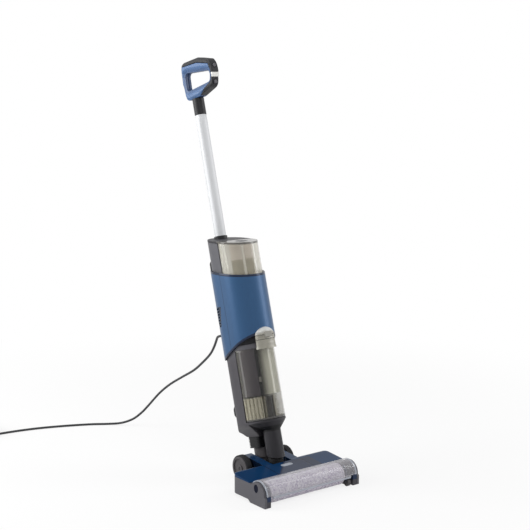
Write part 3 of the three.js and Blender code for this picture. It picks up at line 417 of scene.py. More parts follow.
lead = smooth_route(cord_route, 6)
cord_path = np.concatenate([lead, wound()[2:], last_half_turn()[1:]])
power_cord = swept("power_cord", cord_path, arc(cord_radius, full_turn[::20]))


def cord_finish():
    """Soft black PVC, drawn lengthwise: faint lines along it and a dull, slightly uneven skin."""
    finish = Finish("cord_pvc", Specular_IOR_Level=0.4)
    uv = finish.node("ShaderNodeTexCoord", {}, {}, "UV")
    lines = finish.noise(60, stretch=(0.4, 26, 1), place=uv)
    blotch = finish.noise(35, detail=3)
    finish.feed(
        Base_Color=finish.between(blotch, tone(30, 31, 34), tone(44, 45, 48)),
        Roughness=0.48 + 0.16 * (lines - 0.5) + 0.1 * (blotch - 0.5),
        Normal=finish.bump(lines, 0.00012),
    )
    return finish


cord_black = cord_finish()
power_cord.data.materials.append(cord_black.material)
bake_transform(power_cord)
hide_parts("cord", "cord_coil")

# ------------------------------------------------------------------ coil tie
# A strip of black hook-and-loop tape, 16 mm wide, closed round the coil's turns on the side
# away from the machine. Its end laps over itself on top.
tie_width = 0.016
tie_thickness = 0.0012
tie_angle = math.radians(115)
tie_corner = 0.004


def tie_loop(grow):
    """A rounded rectangle round the coil's section: distance from the middle, and height."""
    wound_width = 2 * cord_radius * coil_columns
    inner = coil_middle[0] - coil_low.x - wound_width - 0.0004
    sides = (inner, coil_low.z - 0.0002, inner + wound_width + 0.0006, coil_high.z)
    turn = np.linspace(0, np.pi / 2, 7)
    corners = []
    for k, (along, up) in enumerate([(2, 3), (0, 3), (0, 1), (2, 1)]):
        middle_along = sides[along] + tie_corner * (1 if along == 0 else -1)
        middle_up = sides[up] + tie_corner * (1 if up == 1 else -1)
        reach = tie_corner + grow * np.array([1.0, 0.05 if up == 1 else 1.0])
        corners.append([middle_along, middle_up] + reach * arc(1, turn + k * np.pi / 2))
    return np.concatenate(corners)


def tie_surface():
    """The loop carried across the tape's width, out along one face and back along the other."""
    rows = []
    for grow, across in [(0, -0.5), (tie_thickness, -0.5), (tie_thickness, 0.5), (0, 0.5)]:
        loop = tie_loop(grow)
        tangent = across * tie_width
        x = coil_middle[0] + loop[:, 0] * np.cos(tie_angle) - tangent * np.sin(tie_angle)
        y = coil_middle[1] + loop[:, 0] * np.sin(tie_angle) + tangent * np.cos(tie_angle)
        rows.append(np.stack([x, y, loop[:, 1]], axis=1))
    return np.array(rows)


coil_tie = grid_piece("coil_tie", tie_surface(), wrap_rows=True)
tape = Finish("hook_and_loop", Sheen_Weight=0.3)
fuzz = tape.noise(2600, detail=3)
tape.feed(
    Base_Color=tape.between(fuzz, tone(18, 18, 20), tone(46, 46, 50)),
    Roughness=0.85 + 0.1 * (fuzz - 0.5),
    Normal=tape.bump(fuzz, 0.0003),
)
settle(coil_tie, "floor_head", tape, "cord_black")

# ------------------------------------------------------------------ mains plug
# A moulded-on two-blade plug in the cord's own black PVC, with ribbed grips on its flat sides and
# a sleeve over the cord. Its blades are nickel-plated brass with rounded tips.
plug_start = plug_low.y
plug_body_start = plug_start + 0.034
plug_face = plug_body_start + 0.034
sleeve_half, body_half_x, body_half_z = 0.0046, plug_half - 0.0008, 0.0092
face_rounding = 0.0008
ring_height, ring_spacing = 0.00036, 0.004
rib_height, rib_spacing = 0.0006, 0.0035


def plug_sections():
    """Superellipses across Y: a thin sleeve that swells into the body, whose sides are ribbed."""
    y = np.concatenate(
        [
            np.linspace(plug_start, plug_body_start - 0.004, 16),
            np.linspace(plug_body_start - 0.002, plug_body_start + 0.006, 7),
            np.linspace(plug_body_start + 0.007, plug_face - 0.0012, 44),
            [plug_face - 0.0005, plug_face],
        ]
    )
    swell = eased_step((y - plug_body_start + 0.004) / 0.012)
    rounding = np.maximum(y - plug_face + face_rounding, 0)
    ring = (np.sin((y - plug_start) * 2 * np.pi / ring_spacing) > 0.2) * (swell < 0.02)
    skin = sleeve_half + ring_height * ring - rounding
    wave = np.sin((y - plug_body_start) * 2 * np.pi / rib_spacing) * (y < plug_face - 0.006)
    rib = rib_height * (wave - 1) * (swell > 0.99)
    half_x = skin + (body_half_x - sleeve_half) * swell
    half_z = skin + (body_half_z - sleeve_half) * swell + rib
    cosine, sine = arc(1, full_turn[::5]).T
    power = (1 - 0.45 * swell)[:, None]
    x = plug_x + half_x[:, None] * np.sign(cosine) * np.abs(cosine) ** power
    z = plug_z + half_z[:, None] * np.sign(sine) * np.abs(sine) ** power
    rings = np.stack([x, np.broadcast_to(y[:, None], x.shape), z], axis=2)
    ends = [np.broadcast_to([plug_x, y[k], plug_z], rings[:1].shape) for k in (0, -1)]
    return np.concatenate([ends[0], rings, ends[1]])


plug_body = grid_piece("plug_body", plug_sections())
settle(plug_body, "floor_head", cord_black, "cord_black", "plug")
blade_length, blade_root, blade_spacing = 0.017, 0.004, 0.0127


def blade_surface(x, half):
    """A flat blade: a rounded outline in Y and Z, given its thickness by layers across X.

    Each layer is the outline at an offset in millimetres, scaled about the blade's middle.
    """
    turn = np.linspace(-np.pi / 2, np.pi / 2, 13)
    rounding = half * 0.6
    root, tip = plug_face - blade_root, plug_face + blade_length - rounding
    y = np.concatenate([[root], tip + rounding * np.cos(turn), [root]])
    z = np.concatenate([[-half], half * np.sin(turn), [half]])
    middle = plug_face + 0.006
    rows = []
    for offset, scale in [(-0.8, 0), (-0.8, 0.97), (-0.45, 1), (0.45, 1), (0.8, 0.97), (0.8, 0)]:
        row_x = np.full(len(y), x + offset * 0.001)
        rows.append(np.stack([row_x, middle + (y - middle) * scale, plug_z + z * scale], axis=1))
    return np.array(rows)


def bare_metal(name, first, second, scale, stretch, roughness, swing, detail=3, metallic=1.0):
    """Metal whose fine lines, left by its making, vary its colour, its gloss and its height."""
    finish = Finish(name, Metallic=metallic)
    lines = finish.noise(scale, stretch=stretch, detail=detail)
    finish.feed(
        Base_Color=finish.between(lines, first, second),
        Roughness=roughness + swing * lines,
        Normal=finish.bump(lines, 0.00002),
    )
    return finish


plate_tones = tone(176, 172, 164), tone(206, 203, 196)
nickel = bare_metal("nickel_plate", *plate_tones, 240, (1, 0.1, 1), 0.2, 0.15)
for side, sign, half in [("near", -1, 0.0032), ("far", 1, 0.004)]:
    blade_x = plug_x + sign * blade_spacing / 2
    blade = grid_piece(f"plug_blade_{side}", blade_surface(blade_x, half))
    settle(blade, "floor_head", nickel, "motor_steel")

# ------------------------------------------------------------------ the leaning body's own frame
# The upright body is drawn straight up, in millimetres from the recline pivot, then laid back.
# The floor head is drawn in millimetres from its own zero, 52 mm in front of the same pivot.
def joint(name):
    """The frame's row for the joint of that name."""
    return next(row for row in frame["joints"] if row["name"] == name)


pivot = np.array(joint("recline")["pos_m"])
lean_up = np.array(joint("steer")["axis"])
lean_back = np.array([0, lean_up[2], -lean_up[1]])
head_zero = pivot[1] - 0.052


def leaning(points):
    """Points of the upright body, in its own millimetres, to their place in the machine."""
    points = np.asarray(points, float) * 0.001
    sideways = points[..., :1] * np.array([1.0, 0, 0])
    return pivot + sideways + points[..., 1:2] * lean_back + points[..., 2:] * lean_up


def standing(points):
    """Points of the floor head, in its own millimetres, to their place in the machine."""
    return np.asarray(points, float) * 0.001 + np.array([0, head_zero, 0])


def turned(profile, sides, axis, middle):
    """A profile of radius and height turned round an axis through the middle point."""
    radius, height = np.array(profile, float).T[..., None]
    a, b = np.moveaxis(arc(radius, np.linspace(0, 2 * np.pi, sides, endpoint=False)), -1, 0)
    h = np.broadcast_to(height, a.shape)
    order = {"x": (h, a, b), "y": (b, h, a), "z": (a, b, h)}[axis]
    return np.stack(order, axis=2) + np.array(middle, float)


def lean_coordinates(finish):
    """A finish's position in the leaning body's own millimetres: sideways, back and up."""
    y = finish.along("Y") - float(pivot[1])
    z = finish.along("Z") - float(pivot[2])
    back = 1000 * (y * float(lean_back[1]) + z * float(lean_back[2]))
    up = 1000 * (y * float(lean_up[1]) + z * float(lean_up[2]))
    return 1000 * finish.along("X"), back, up


def solid_copy(node, name, **clean):
    """A piece with a copy of a CAD node's mesh, its loose triangles merged."""
    mesh = frame["nodes"][node].data.copy()
    mesh.name = name
    tidy(mesh, **clean)
    return placed(name, mesh)


def dress(node, name, body, finish, slot, radius=0.6, layers=2, angle=28):
    """A CAD node's solid in its finish, on its body, with its sharp edges rounded over."""
    piece = solid_copy(node, name, flat_angle=angle, melt=0.5)
    bevel = piece.modifiers.new("edges", "BEVEL")
    bevel.width = radius * 0.001
    bevel.segments = layers
    bevel.limit_method = "ANGLE"
    bevel.angle_limit = math.radians(angle)
    bevel.harden_normals = True
    bevel.use_clamp_overlap = True
    return settle(piece, body, finish, slot, node)


def softened_copy(node, name, grain=0.8, rounds=22):
    """A CAD node's solid remeshed in small even faces, then relaxed so that every edge is soft."""
    piece = solid_copy(node, name)
    remesh = piece.modifiers.new("even_faces", "REMESH")
    remesh.mode = "VOXEL"
    remesh.voxel_size = grain * 0.001
    remesh.use_smooth_shade = True
    relax = piece.modifiers.new("soft_edges", "SMOOTH")
    relax.factor = 0.5
    relax.iterations = rounds
    bpy.context.view_layer.update()
    scene_now = bpy.context.evaluated_depsgraph_get()
    relaxed = bpy.data.meshes.new_from_object(piece.evaluated_get(scene_now))
    piece.modifiers.clear()
    piece.data = relaxed
    return piece

# ------------------------------------------------------------------ strain relief
# The cord's tapered boot, moulded in soft black PVC, with flexing grooves round it. Its flange
# sits against the back of the motor housing.
gland_z = 338
boot = turned(
    [(0, 67.4), (10.2, 67.4), (10.5, 67.8), (10.5, 69.6), (10.1, 70), (7.6, 70), (7.2, 70.6)]
    + [
        (7.1 - 2.1 * (k / 16 + offset) - depth, 71.5 + 32.5 * (k / 16 + offset))
        for k in range(1, 15)
        for offset, depth in [(0, 0), (0.018, 0.8), (0.036, 0.8), (0.05, 0)]
    ]
    + [(5, 104.4), (4.7, 105), (3.7, 105), (3.5, 104.6), (3.5, 98), (0, 98)],
    sides=40,
    axis="y",
    middle=(0, 0, gland_z),
)
settle(grid_piece("strain_relief", leaning(boot)), "upright_body", cord_black, "cord_black", "cord_gland")

# ------------------------------------------------------------------ under tray
# The head's dark grey tray, moulded in glass-filled nylon: it carries the brush chamber, the
# front corner blocks, the drive and the two rear arms with the wheel pins.
dark_grey = moulded("dark_grey_moulding", tone(46, 45, 49), 0.5)


def head_coordinates(finish):
    """A finish's position in the floor head's own millimetres: sideways, back and up."""
    back = 1000 * (finish.along("Y") - float(head_zero))
    return 1000 * finish.along("X"), back, 1000 * finish.along("Z")


def tray_finish():
    """The grey moulding, with the upper halves of the two front corner blocks in navy."""
    finish = moulded("tray_moulding", tone(62, 61, 66), 0.5)
    _, back, up = head_coordinates(finish)
    cap = (1 - finish.rise(back, -119, -118)) * finish.rise(up, 16.4, 17)
    broad = finish.noise(11, detail=3)
    grey = finish.between(broad, tone(56, 55, 60), tone(70, 69, 74))
    finish.feed(Base_Color=finish.between(cap, grey, tone(16, 36, 66)))
    return finish


dress("chassis", "under_tray", "floor_head", tray_finish(), "trim_dark", 0.8)
steel_tones = tone(168, 170, 174), tone(200, 201, 204)
satin_steel = bare_metal("satin_steel", *steel_tones, 300, (0.05, 1, 1), 0.26, 0.14)
dress("recline_pin", "recline_shaft", "floor_head", satin_steel, "motor_steel", 0.5)

# ------------------------------------------------------------------ brush drive
# A can motor behind the chamber turns the roll through a toothed belt at its right end; a thin
# wiper, a spray bar and the suction duct stand beside it under the cover.
dress("brush_motor", "drive_motor", "floor_head", satin_steel, "motor_steel", 0.8)
brass_tones = tone(172, 140, 78), tone(204, 172, 104)
brass = bare_metal("turned_brass", *brass_tones, 900, (1, 0.2, 0.2), 0.22, 0.16, detail=2)
dress("motor_pulley", "drive_pinion", "drive_pinion", brass, "pulley_brass", 0.3)


def rubbery(name, colour, roughness):
    """Cured rubber: dull, with a fine pebble and pale bloom in patches."""
    finish = Finish(name, Specular_IOR_Level=0.35)
    bloom = finish.noise(22, detail=4)
    pebble = finish.cells(1400)
    finish.feed(
        Base_Color=finish.between(bloom, shade(colour, 0.85), shade(colour, 1.3)),
        Roughness=roughness + 0.12 * (bloom - 0.5),
        Normal=finish.bump(pebble, 0.00008),
    )
    return finish


rubber = rubbery("black_rubber", tone(30, 30, 32), 0.78)
for node, name in [
    ("drive_belt", "toothed_belt"),
    ("wiper_blade", "floor_wiper"),
    ("duct_hose", "duct_bellows"),
]:
    dress(node, name, "floor_head", rubber, "rubber_black", 0.3)
black = moulded("black_moulding", tone(22, 22, 25), 0.42)
dress("suction_duct", "dirt_duct", "floor_head", black, "trim_black", 0.5)


def edge_turn(finish):
    """0 where the surface faces the eye and 1 where it turns away."""
    return finish.node("ShaderNodeLayerWeight", {}, {"Blend": 0.35}, "Facing")


def clear_moulding(name, colour, thin, edge, roughness=0.06):
    """Clear plastic: nearly nothing face on, denser and brighter where it turns away."""
    finish = Finish(name, IOR=1.52, Specular_IOR_Level=0.6, Coat_Roughness=0.06)
    haze = finish.noise(16, detail=3)
    ripple = finish.noise(45)
    finish.feed(
        Base_Color=finish.between(haze, shade(colour, 0.95), shade(colour, 1.04)),
        Roughness=roughness + 0.05 * haze,
        Alpha=thin + (edge - thin) * edge_turn(finish) ** 1.6 + 0.05 * (haze - 0.5),
        Coat_Weight=0.1 + 0.15 * haze,
        Normal=finish.bump(ripple, 0.00002),
    )
    return finish


clear_tone = tone(214, 212, 218)
clear = clear_moulding("clear_plastic", clear_tone, 0.16, 0.7)
dress("spray_bar", "spray_pipe", "floor_head", clear, "clear_plastic", 0.3)

# ------------------------------------------------------------------ deck
# The glossy navy cover over the head, injection moulded in one piece with a deep polish. Its
# higher middle part runs back between the wheels, slotted for the neck.
def deck_finish():
    """Navy gloss with settled dust, two ridges, a plain silver pill and a smoky panel before it.

    The panel's left side slants, the pill is a line 22 mm long thickened by its round ends.
    """
    finish = Finish("navy_gloss", Coat_Roughness=0.04, Coat_IOR=1.5, Specular_IOR_Level=0.08)
    sideways, back, _ = head_coordinates(finish)
    side = abs(sideways)
    panel = finish.rise(sideways - 0.95 * back, 14.5, 15.5) * (1 - finish.rise(back, -17, -16))
    panel = panel * (1 - finish.rise(sideways, 83, 84))
    ridge = finish.line(side, 56, 0.5, 1.1)
    swim = finish.noise(7, detail=1)
    dust = finish.noise(60, detail=5)
    along = (side - 11).most(0)
    across = back + 32
    pill = 1 - finish.rise((along * along + across * across) ** 0.5, 6.2, 7.0)
    navy = finish.between(swim, tone(14, 44, 78), tone(22, 58, 96))
    smoky = finish.between(swim, tone(38, 47, 66), tone(48, 57, 78))
    coats = (panel, smoky), (ridge, tone(8, 18, 34)), (pill, tone(150, 156, 166))
    finish.feed(
        Base_Color=finish.painted(navy, *coats),
        Roughness=0.13 + 0.1 * finish.rise(dust, 0.45, 0.75),
        Coat_Weight=0.03 + 0.03 * swim,
        Normal=finish.bump(0.4 * swim - 0.6 * ridge + 0.5 * pill, 0.0005),
    )
    return finish


dress("head_cover", "deck", "floor_head", deck_finish(), "deck_navy", 2.2, 4)

# ------------------------------------------------------------------ side plates
# Satin grey end plates with a stepped foot, screwed to the tray. The left one has a dark oval
# button that lets the brush roll out.
satin_grey = moulded("satin_grey_moulding", tone(84, 83, 88), 0.46)
for side in ("left", "right"):
    node = f"side_plate_{side}"
    dress(node, f"end_plate_{side}", "floor_head", satin_grey, "body_grey", 1.6, 3)
button_navy = moulded("button_navy", tone(6, 11, 30), 0.6, Specular_IOR_Level=0.1)
dress("brush_release_button", "release_button", "release_button", button_navy, "deck_navy", 1.2, 3)

# ------------------------------------------------------------------ brush roll
# A microfibre sleeve over a plastic core. Its short loops lie in loose tufts of mixed white and
# lavender yarn, which the spinning leaves standing a little unevenly.
brush_y, brush_z = -104, 28.4
sleeve_radius, core_radius = 27.8, 23.3
sleeve_left, sleeve_right = -125, 109
tuft_depth, shoulder_radius = 1.5, 1.5
tuft = np.random.default_rng(11)


def soft_field(rows, columns, cell):
    """Even random noise blurred over a cell of that many rows and columns, scaled to 0..1."""
    field = tuft.normal(size=(rows, columns))
    row_wave = np.fft.fftfreq(rows)[:, None] * cell
    column_wave = np.fft.rfftfreq(columns)[None] * cell
    blur = np.exp(-(row_wave**2 + column_wave**2) * 4)
    field = np.fft.irfft2(np.fft.rfft2(field) * blur, s=field.shape)
    field -= field.min()
    return field / field.max()


def pile():
    """A tube whose radius follows tufts of about 3 mm, rounded down at both ends, and its bore."""
    rows, columns = 240, 170
    x = np.linspace(sleeve_left, sleeve_right, rows)
    height = 0.65 * soft_field(rows, columns, 3.2) + 0.35 * soft_field(rows, columns, 8)
    end = np.clip(np.minimum(x - sleeve_left, sleeve_right - x) / shoulder_radius, 0, 1)
    shoulder = shoulder_radius * (1 - np.sqrt(1 - (1 - end) ** 2))
    radius = sleeve_radius - tuft_depth * (1 - height) - shoulder[:, None]
    bore = np.full((1, columns), core_radius)
    radius = np.concatenate([bore, radius, bore])
    x = np.concatenate([x[:1], x, x[-1:]])
    angle = np.linspace(0, 2 * np.pi, columns, endpoint=False)
    return at_each(x, arc(radius, angle) + (brush_y, brush_z))


def at_each(x, loops):
    """Loops of Y and Z points, one for each x or one for all, as a grid of points."""
    loops = np.broadcast_to(loops, (len(x), *loops.shape[-2:]))
    return np.insert(loops, 0, np.asarray(x, float)[:, None], axis=2)


fleece = Finish("microfibre", Sheen_Weight=0.35, Sheen_Roughness=0.5, Specular_IOR_Level=0.2)
yarn = fleece.cells(420, output="Color")
yarn_shade = fleece.along("X", yarn)
loops = fleece.cells(700)
fleece.feed(
    Base_Color=fleece.between(yarn_shade, tone(158, 146, 174), tone(244, 240, 246)),
    Roughness=0.9 + 0.08 * (yarn_shade - 0.5),
    Normal=fleece.bump(1 - 1.2 * loops, 0.0009),
)
roll = grid_piece("microfibre_sleeve", standing(pile()), wrap_rows=True)
settle(roll, "brush_roll", fleece, "fleece", "brush_sleeve")
for node, name, finish, slot in [
    ("brush_core", "roll_core", dark_grey, "trim_dark"),
    ("brush_bearing_cap", "roll_bearing", black, "trim_black"),
    ("brush_pulley", "roll_pulley", dark_grey, "trim_dark"),
]:
    dress(node, name, "brush_roll", finish, slot, 0.5)

# ------------------------------------------------------------------ brush window
# A clear lid over the roll, moulded in one arc, with a thick lower lip and a solid arch at each
# end. It lifts straight off for cleaning.
window_radius, window_wall = 33.4, 2.4
window_half, window_low, lip_low = 142.9, 31, 22
window_front = math.pi - math.asin((window_low - brush_z) / window_radius)
window_rear = math.acos((-75.3 - brush_y) / window_radius)


def swelling(angle, edge, height):
    """A bead of that height at the edge's angle, fading over about 3 degrees to each side."""
    return height * np.exp(-(((angle - edge) / 0.05) ** 2))


def window_surface():
    """An arc with its wall's thickness, swept along X; the front edge swells into a bead."""
    angle = np.linspace(window_rear, window_front, 40)
    bead = swelling(angle, window_front, 0.9)
    inner = arc(window_radius - window_wall - bead, angle)[::-1]
    lip = [[-33.6, 2.2], [-33.8, 1.2], [-33.6, 1.0], [-31.2, 1.0], [-30.6, 1.6]]
    loop = np.concatenate([arc(window_radius, angle), lip, inner]) + (brush_y, brush_z)
    return at_each(np.array([-1, -0.996, 0.996, 1]) * window_half, loop)


def close_ends(piece):
    """Closes the open ends of a tube-like piece with one flat face each."""
    shape = bmesh.new()
    shape.from_mesh(piece.data)
    bmesh.ops.holes_fill(shape, edges=[edge for edge in shape.edges if edge.is_boundary], sides=0)
    finished(shape, piece.data)
    return piece


def window_clear():
    """The clear plastic, denser in the end arches and the lip's lower edge, and painted whiter there as a
    highlight.
    """
    finish = clear_moulding("window_plastic", clear_tone, 0.16, 0.7)
    sideways, _, up = head_coordinates(finish)
    # The end arches and the lip's lower edge: denser, and painted whiter as a highlight.
    thick_and_highlit = finish.rise(abs(sideways), 138.4, 139.2).most(1 - finish.rise(up, 26.2, 27))
    shine = finish.noise(30, detail=3)
    turn = edge_turn(finish)
    finish.feed(
        Base_Color=finish.between(thick_and_highlit, clear_tone, tone(186, 191, 202)),
        Alpha=0.16 + 0.54 * turn**1.6 + 0.4 * thick_and_highlit + 0.06 * (shine - 0.5),
    )
    return finish


window_finish = window_clear()
window = close_ends(grid_piece("brush_window_pane", standing(window_surface())))
settle(window, "window", window_finish, "clear_plastic", "brush_window")


def lip_surface():
    """The window's front lip: its arc carried 9 mm further down between the corner blocks."""
    low_angle = math.pi + math.asin((brush_z - lip_low) / window_radius)
    angle = np.linspace(window_front, low_angle, 12)
    inner = arc(window_radius - window_wall - swelling(angle, low_angle, 0.8), angle)[::-1]
    loop = np.concatenate([arc(window_radius, angle), inner]) + (brush_y, brush_z)
    middle = loop.mean(axis=0)
    loops = middle + (loop - middle) * np.array([0.8, 1, 1, 0.8])[:, None, None]
    return at_each([-124.0, -123.2, 123.2, 124.0], loops)


lip = close_ends(grid_piece("brush_window_lip", standing(lip_surface())))
settle(lip, "window", window_finish, "clear_plastic")

# ------------------------------------------------------------------ rear wheels and foot wheel
# Two wide wheels with black ribbed tyres over dished grey hubs, on stub pins beside the neck, and
# a small solid roller under the front right corner.
wheel_y, wheel_radius, wheel_inner, wheel_outer = 64, 34, 60, 76
rim_radius, groove_floor = 31.2, 33.5
groove_count, groove_depth = 60, 0.45
hub_grey = moulded("hub_grey_moulding", tone(70, 67, 69), 0.5)


def tyre_surface(inner, outer):
    """A round-shouldered tread turned about X, with shallow grooves across it every 6 degrees."""
    width = outer - inner
    shoulder = [(0, rim_radius), (0, 32.6), (0.6, 33.4), (1.6, 33.85)]
    tread = [(3.2, wheel_radius), (5.0, wheel_radius)]
    for start, end, land in ((5.3, 5.9, (6.2, 9.8)), (10.1, 10.7, (11.0, 12.8))):
        tread += [(start, groove_floor), (end, groove_floor), *((x, wheel_radius) for x in land)]
    profile = shoulder + tread + [(width - x, r) for x, r in reversed(shoulder)]
    centre = np.array([0, wheel_y, wheel_radius])
    points = turned([(r, inner + x) for x, r in profile], len(full_turn), "x", centre)
    groove = groove_depth * (np.cos(full_turn * groove_count) > 0.55)
    depth = np.array([r > groove_floor - 0.05 and not 3.5 <= x <= width - 3.5 for x, r in profile])
    offset = points - centre
    offset[..., 1:] *= 1 - (groove[None] * depth[:, None] / wheel_radius)[..., None]
    return centre + offset


for side, sign in (("left", -1), ("right", 1)):
    faces = sorted((sign * wheel_inner, sign * wheel_outer))
    tyre = grid_piece(f"tyre_tread_{side}", standing(tyre_surface(*faces)), wrap_rows=True)
    settle(tyre, f"{side}_wheel", rubber, "tyre_rubber", f"tyre_{side}")
    hub = f"wheel_hub_{side}"
    dress(f"wheel_{side}", hub, f"{side}_wheel", hub_grey, "body_grey", 0.9, 3)
dress("foot_wheel", "foot_roller", "front_roller", hub_grey, "rubber_black", 1.2, 3)

# ------------------------------------------------------------------ neck
# The steering yoke pivots on a steel shaft between the arms; above it the ribbed black knuckle
# turns with the body.
dress("neck_yoke", "steering_neck", "steering_yoke", hub_grey, "body_grey", 1.0, 3)


def knuckle_surface():
    """A block with rounded corners round the swivel pin's bore, grooved round every 4 mm.

    Each row is the block's plan, scaled down by an inset over its reach from the middle; the first
    and last rows are the bore.
    """
    low, high = 38.6, 67.4
    half, front, rear, corner, per_corner = 28, -16, 27, 6, 8
    plan_reach = 20
    bore_radius, bore_y = 9.5, 5
    quarter = np.linspace(0, np.pi / 2, per_corner)
    plan = []
    for k, (x, y) in enumerate([(half, rear), (-half, rear), (-half, front), (half, front)]):
        middle = (x - corner * np.sign(x), y - corner * np.sign(y))
        plan.append(middle + arc(corner, quarter + k * np.pi / 2))
    plan = np.concatenate(plan)
    centre = np.array([0, (front + rear) / 2])
    heights = [low, low + 0.8]
    insets = [0.8, 0]
    for z in np.arange(low + 4, high - 3, 4):
        heights += [z - 0.9, z - 0.6, z + 0.6, z + 0.9]
        insets += [0, 1.2, 1.2, 0]
    heights += [high - 0.8, high]
    insets += [0, 0.8]
    share = 1 - np.array(insets)[:, None, None] / plan_reach
    rows = centre + (plan - centre) * share
    bore = arc(bore_radius, np.arctan2(plan[:, 1] - bore_y, plan[:, 0])) + (0, bore_y)
    rows = np.concatenate([bore[None], rows, bore[None]])
    z = np.array([low, *heights, high])[:, None]
    return np.insert(rows, 2, z, axis=2)


knuckle = grid_piece("swivel_sleeve", leaning(knuckle_surface()), wrap_rows=True)
settle(knuckle, "upright_body", black, "trim_black", "swivel_knuckle")

# ------------------------------------------------------------------ spine
# The grey backbone of the machine, moulded in glass-filled polypropylene: tank tray, U-shaped
# back, motor bay and tube socket in one, with a darker cap on top.
def backbone_grey():
    """Glass-filled moulding: satin grey, with the suction column's front near black below the tank seat,
    partly its darker moulding and partly painted shade under the tank.

    A rubber ring shows black where the column starts, and a black line is painted beside the dirty tank
    as the shade in the gap between the tank and the backbone.
    """
    finish = Finish("backbone_moulding", Specular_IOR_Level=0.28)
    _, back, up = lean_coordinates(finish)
    fine = finish.noise(1100)
    broad = finish.noise(11, detail=3)
    side = finish.between(broad, tone(78, 78, 83), tone(90, 90, 95))
    foot = finish.between(broad, tone(32, 31, 35), tone(44, 43, 47))
    lower = finish.between(broad, tone(60, 58, 63), tone(70, 68, 73))
    ring = finish.line(up, 85, 6.5, 7.5) * (1 - finish.rise(back, -32, -28))
    foot = finish.between(ring, foot, tone(12, 12, 14))
    # strip: a black line painted as the shade in the gap beside the dirty tank.
    strip = finish.line(back + 0.02 * (up - 108), -17, 0.9, 1.5)
    strip = strip * finish.band(up, 108, 110, 290, 292)
    # column: the front below the tank seat, its darker moulding with painted shade under the tank.
    column = (1 - finish.rise(up + 0.15 * back, 96, 99)) * (1 - finish.rise(back, -23, -19))
    coats = (finish.rise(up, 262, 300), side), (strip, tone(14, 14, 16)), (column, foot)
    finish.feed(
        Base_Color=finish.painted(lower, *coats),
        Roughness=0.46 + 0.1 * (broad - 0.5) + 0.08 * (fine - 0.5),
        Normal=finish.bump(fine, 0.00003),
    )
    return finish


dress("spine", "backbone", "upright_body", backbone_grey(), "body_grey", 1.0, angle=34)
dress("spine_cap", "backbone_cap", "upright_body", dark_grey, "trim_dark", 1.2, 3, 34)

# ------------------------------------------------------------------ motor housing
# Two half shells in satin metallic blue close round the motor bay. Their slanted rims are rolled
# over into dark navy lips, and the rear half has a grille of small slots on each side.
section_rear, section_front = 7, -26
shell_radius, shell_wall = 60, 3
shell_top, rim_slope = 499, 0.24
shell_low, low_slope, shell_rear_low = 287.5, -0.46, 272
seam_y, seam_gap = -11, 0.15
lip_height = 6
grille_middle, grille_half, slot_low, slot_spacing = 386, 26.5, 360, 7.4
grille_front, grille_top, grille_depth, grille_slant = 5, 411, 29, 0.25


def rims(y):
    """Heights of the lower and the upper rim at a place from front to back."""
    low = np.maximum(shell_low + low_slope * y, shell_rear_low)
    return low, shell_top + rim_slope * y


def drawn_in(columns, inset):
    """The same columns with the plan made smaller all round by inset."""
    middle = np.clip(columns[:, 1:], section_front, section_rear)
    return columns - inset * unit(columns - np.insert(middle, 0, 0, axis=1))


def front_half():
    """The front half's plan: straight from the seam, half round, and straight back to it."""
    straight = np.array([seam_y - seam_gap, (seam_y + section_front) / 2])
    left = np.stack([[-shell_radius, -shell_radius], straight], axis=1)
    round_part = arc(shell_radius, np.pi + np.linspace(0, np.pi, 64)) + (0, section_front)
    return np.concatenate([left, round_part, left[::-1] * (-1, 1)])


def solid_shell(columns):
    """A closed wall: out round the lower rim, up the outside, over the upper rim, down inside.

    Each row is the plan drawn in by an inset, at a height above the lower rim or below the upper.
    """
    roll = [(shell_wall, 0.4), (shell_wall - 0.4, 0), (0.7, 0), (0.2, 0.25), (0, 0.8)]
    groove = [(0, 4.0), (0.35, 4.3), (0.35, 4.8), (0, 5.1)]
    low, top = rims(columns[:, 1])
    rows = [(inset, low + height) for inset, height in roll + groove]
    rows += [(0, low + (top - low) * t) for t in np.linspace(0.05, 0.95, 12)]
    rows += [(inset, top - height) for inset, height in reversed(roll + groove)]
    return np.array([np.insert(drawn_in(columns, inset), 2, z, axis=1) for inset, z in rows])


def metallic_blue():
    """Satin metallic paint: fine flakes in blue, navy within 6 mm of either slanted rim.

    Between the cut slots of each side grille a dark line is painted in as the shade of a further slot,
    doubling the number of dark lines.
    """
    finish = Finish("metallic_blue", Metallic=0.3, Coat_Roughness=0.2, Specular_IOR_Level=0.35)
    sideways, back, up = lean_coordinates(finish)
    flake = finish.cells(2600, output="Color")
    glint = finish.along("X", flake)
    below_top = shell_top + rim_slope * back - up
    above_low = up - (shell_low + low_slope * back).most(shell_rear_low)
    lip = 1 - finish.rise(below_top.least(above_low), lip_height - 0.2, lip_height + 0.2)
    lip = lip.most(finish.line(back, seam_y, 0.35, 0.7))
    across = back - grille_front - grille_slant * (grille_top - up) - grille_depth / 2
    beyond = finish.rise(abs(up - grille_middle), grille_half, grille_half + 0.5)
    beyond = beyond + finish.rise(abs(across), grille_depth / 2, grille_depth / 2 + 0.5)
    # groove: dark lines painted between the cut slots, standing for the shade in further slots.
    groove = (1 - beyond.least(1)) * finish.rise(abs(sideways), 30, 31)
    groove = groove * finish.line((up - slot_low) % slot_spacing, 5.7, 0.8, 1.2)
    blue = finish.between(glint, tone(31, 68, 106), tone(45, 84, 123))
    finish.feed(
        Base_Color=finish.painted(blue, (groove, tone(10, 16, 26)), (lip, tone(20, 34, 58))),
        Roughness=0.4 + 0.08 * (glint - 0.5) - 0.1 * lip,
        Coat_Weight=0.08 + 0.04 * glint,
        Normal=finish.bump(finish.noise(900), 0.00002),
    )
    return finish


shell_blue = metallic_blue()
front_points = leaning(solid_shell(front_half()))
front_shell = grid_piece("motor_housing_front", front_points, wrap_rows=True, wrap_columns=False)
settle(close_ends(front_shell), "upright_body", shell_blue, "shell_blue", "front_shell")
dress("rear_shell", "motor_housing_rear", "upright_body", shell_blue, "shell_blue", 0.5, angle=34)

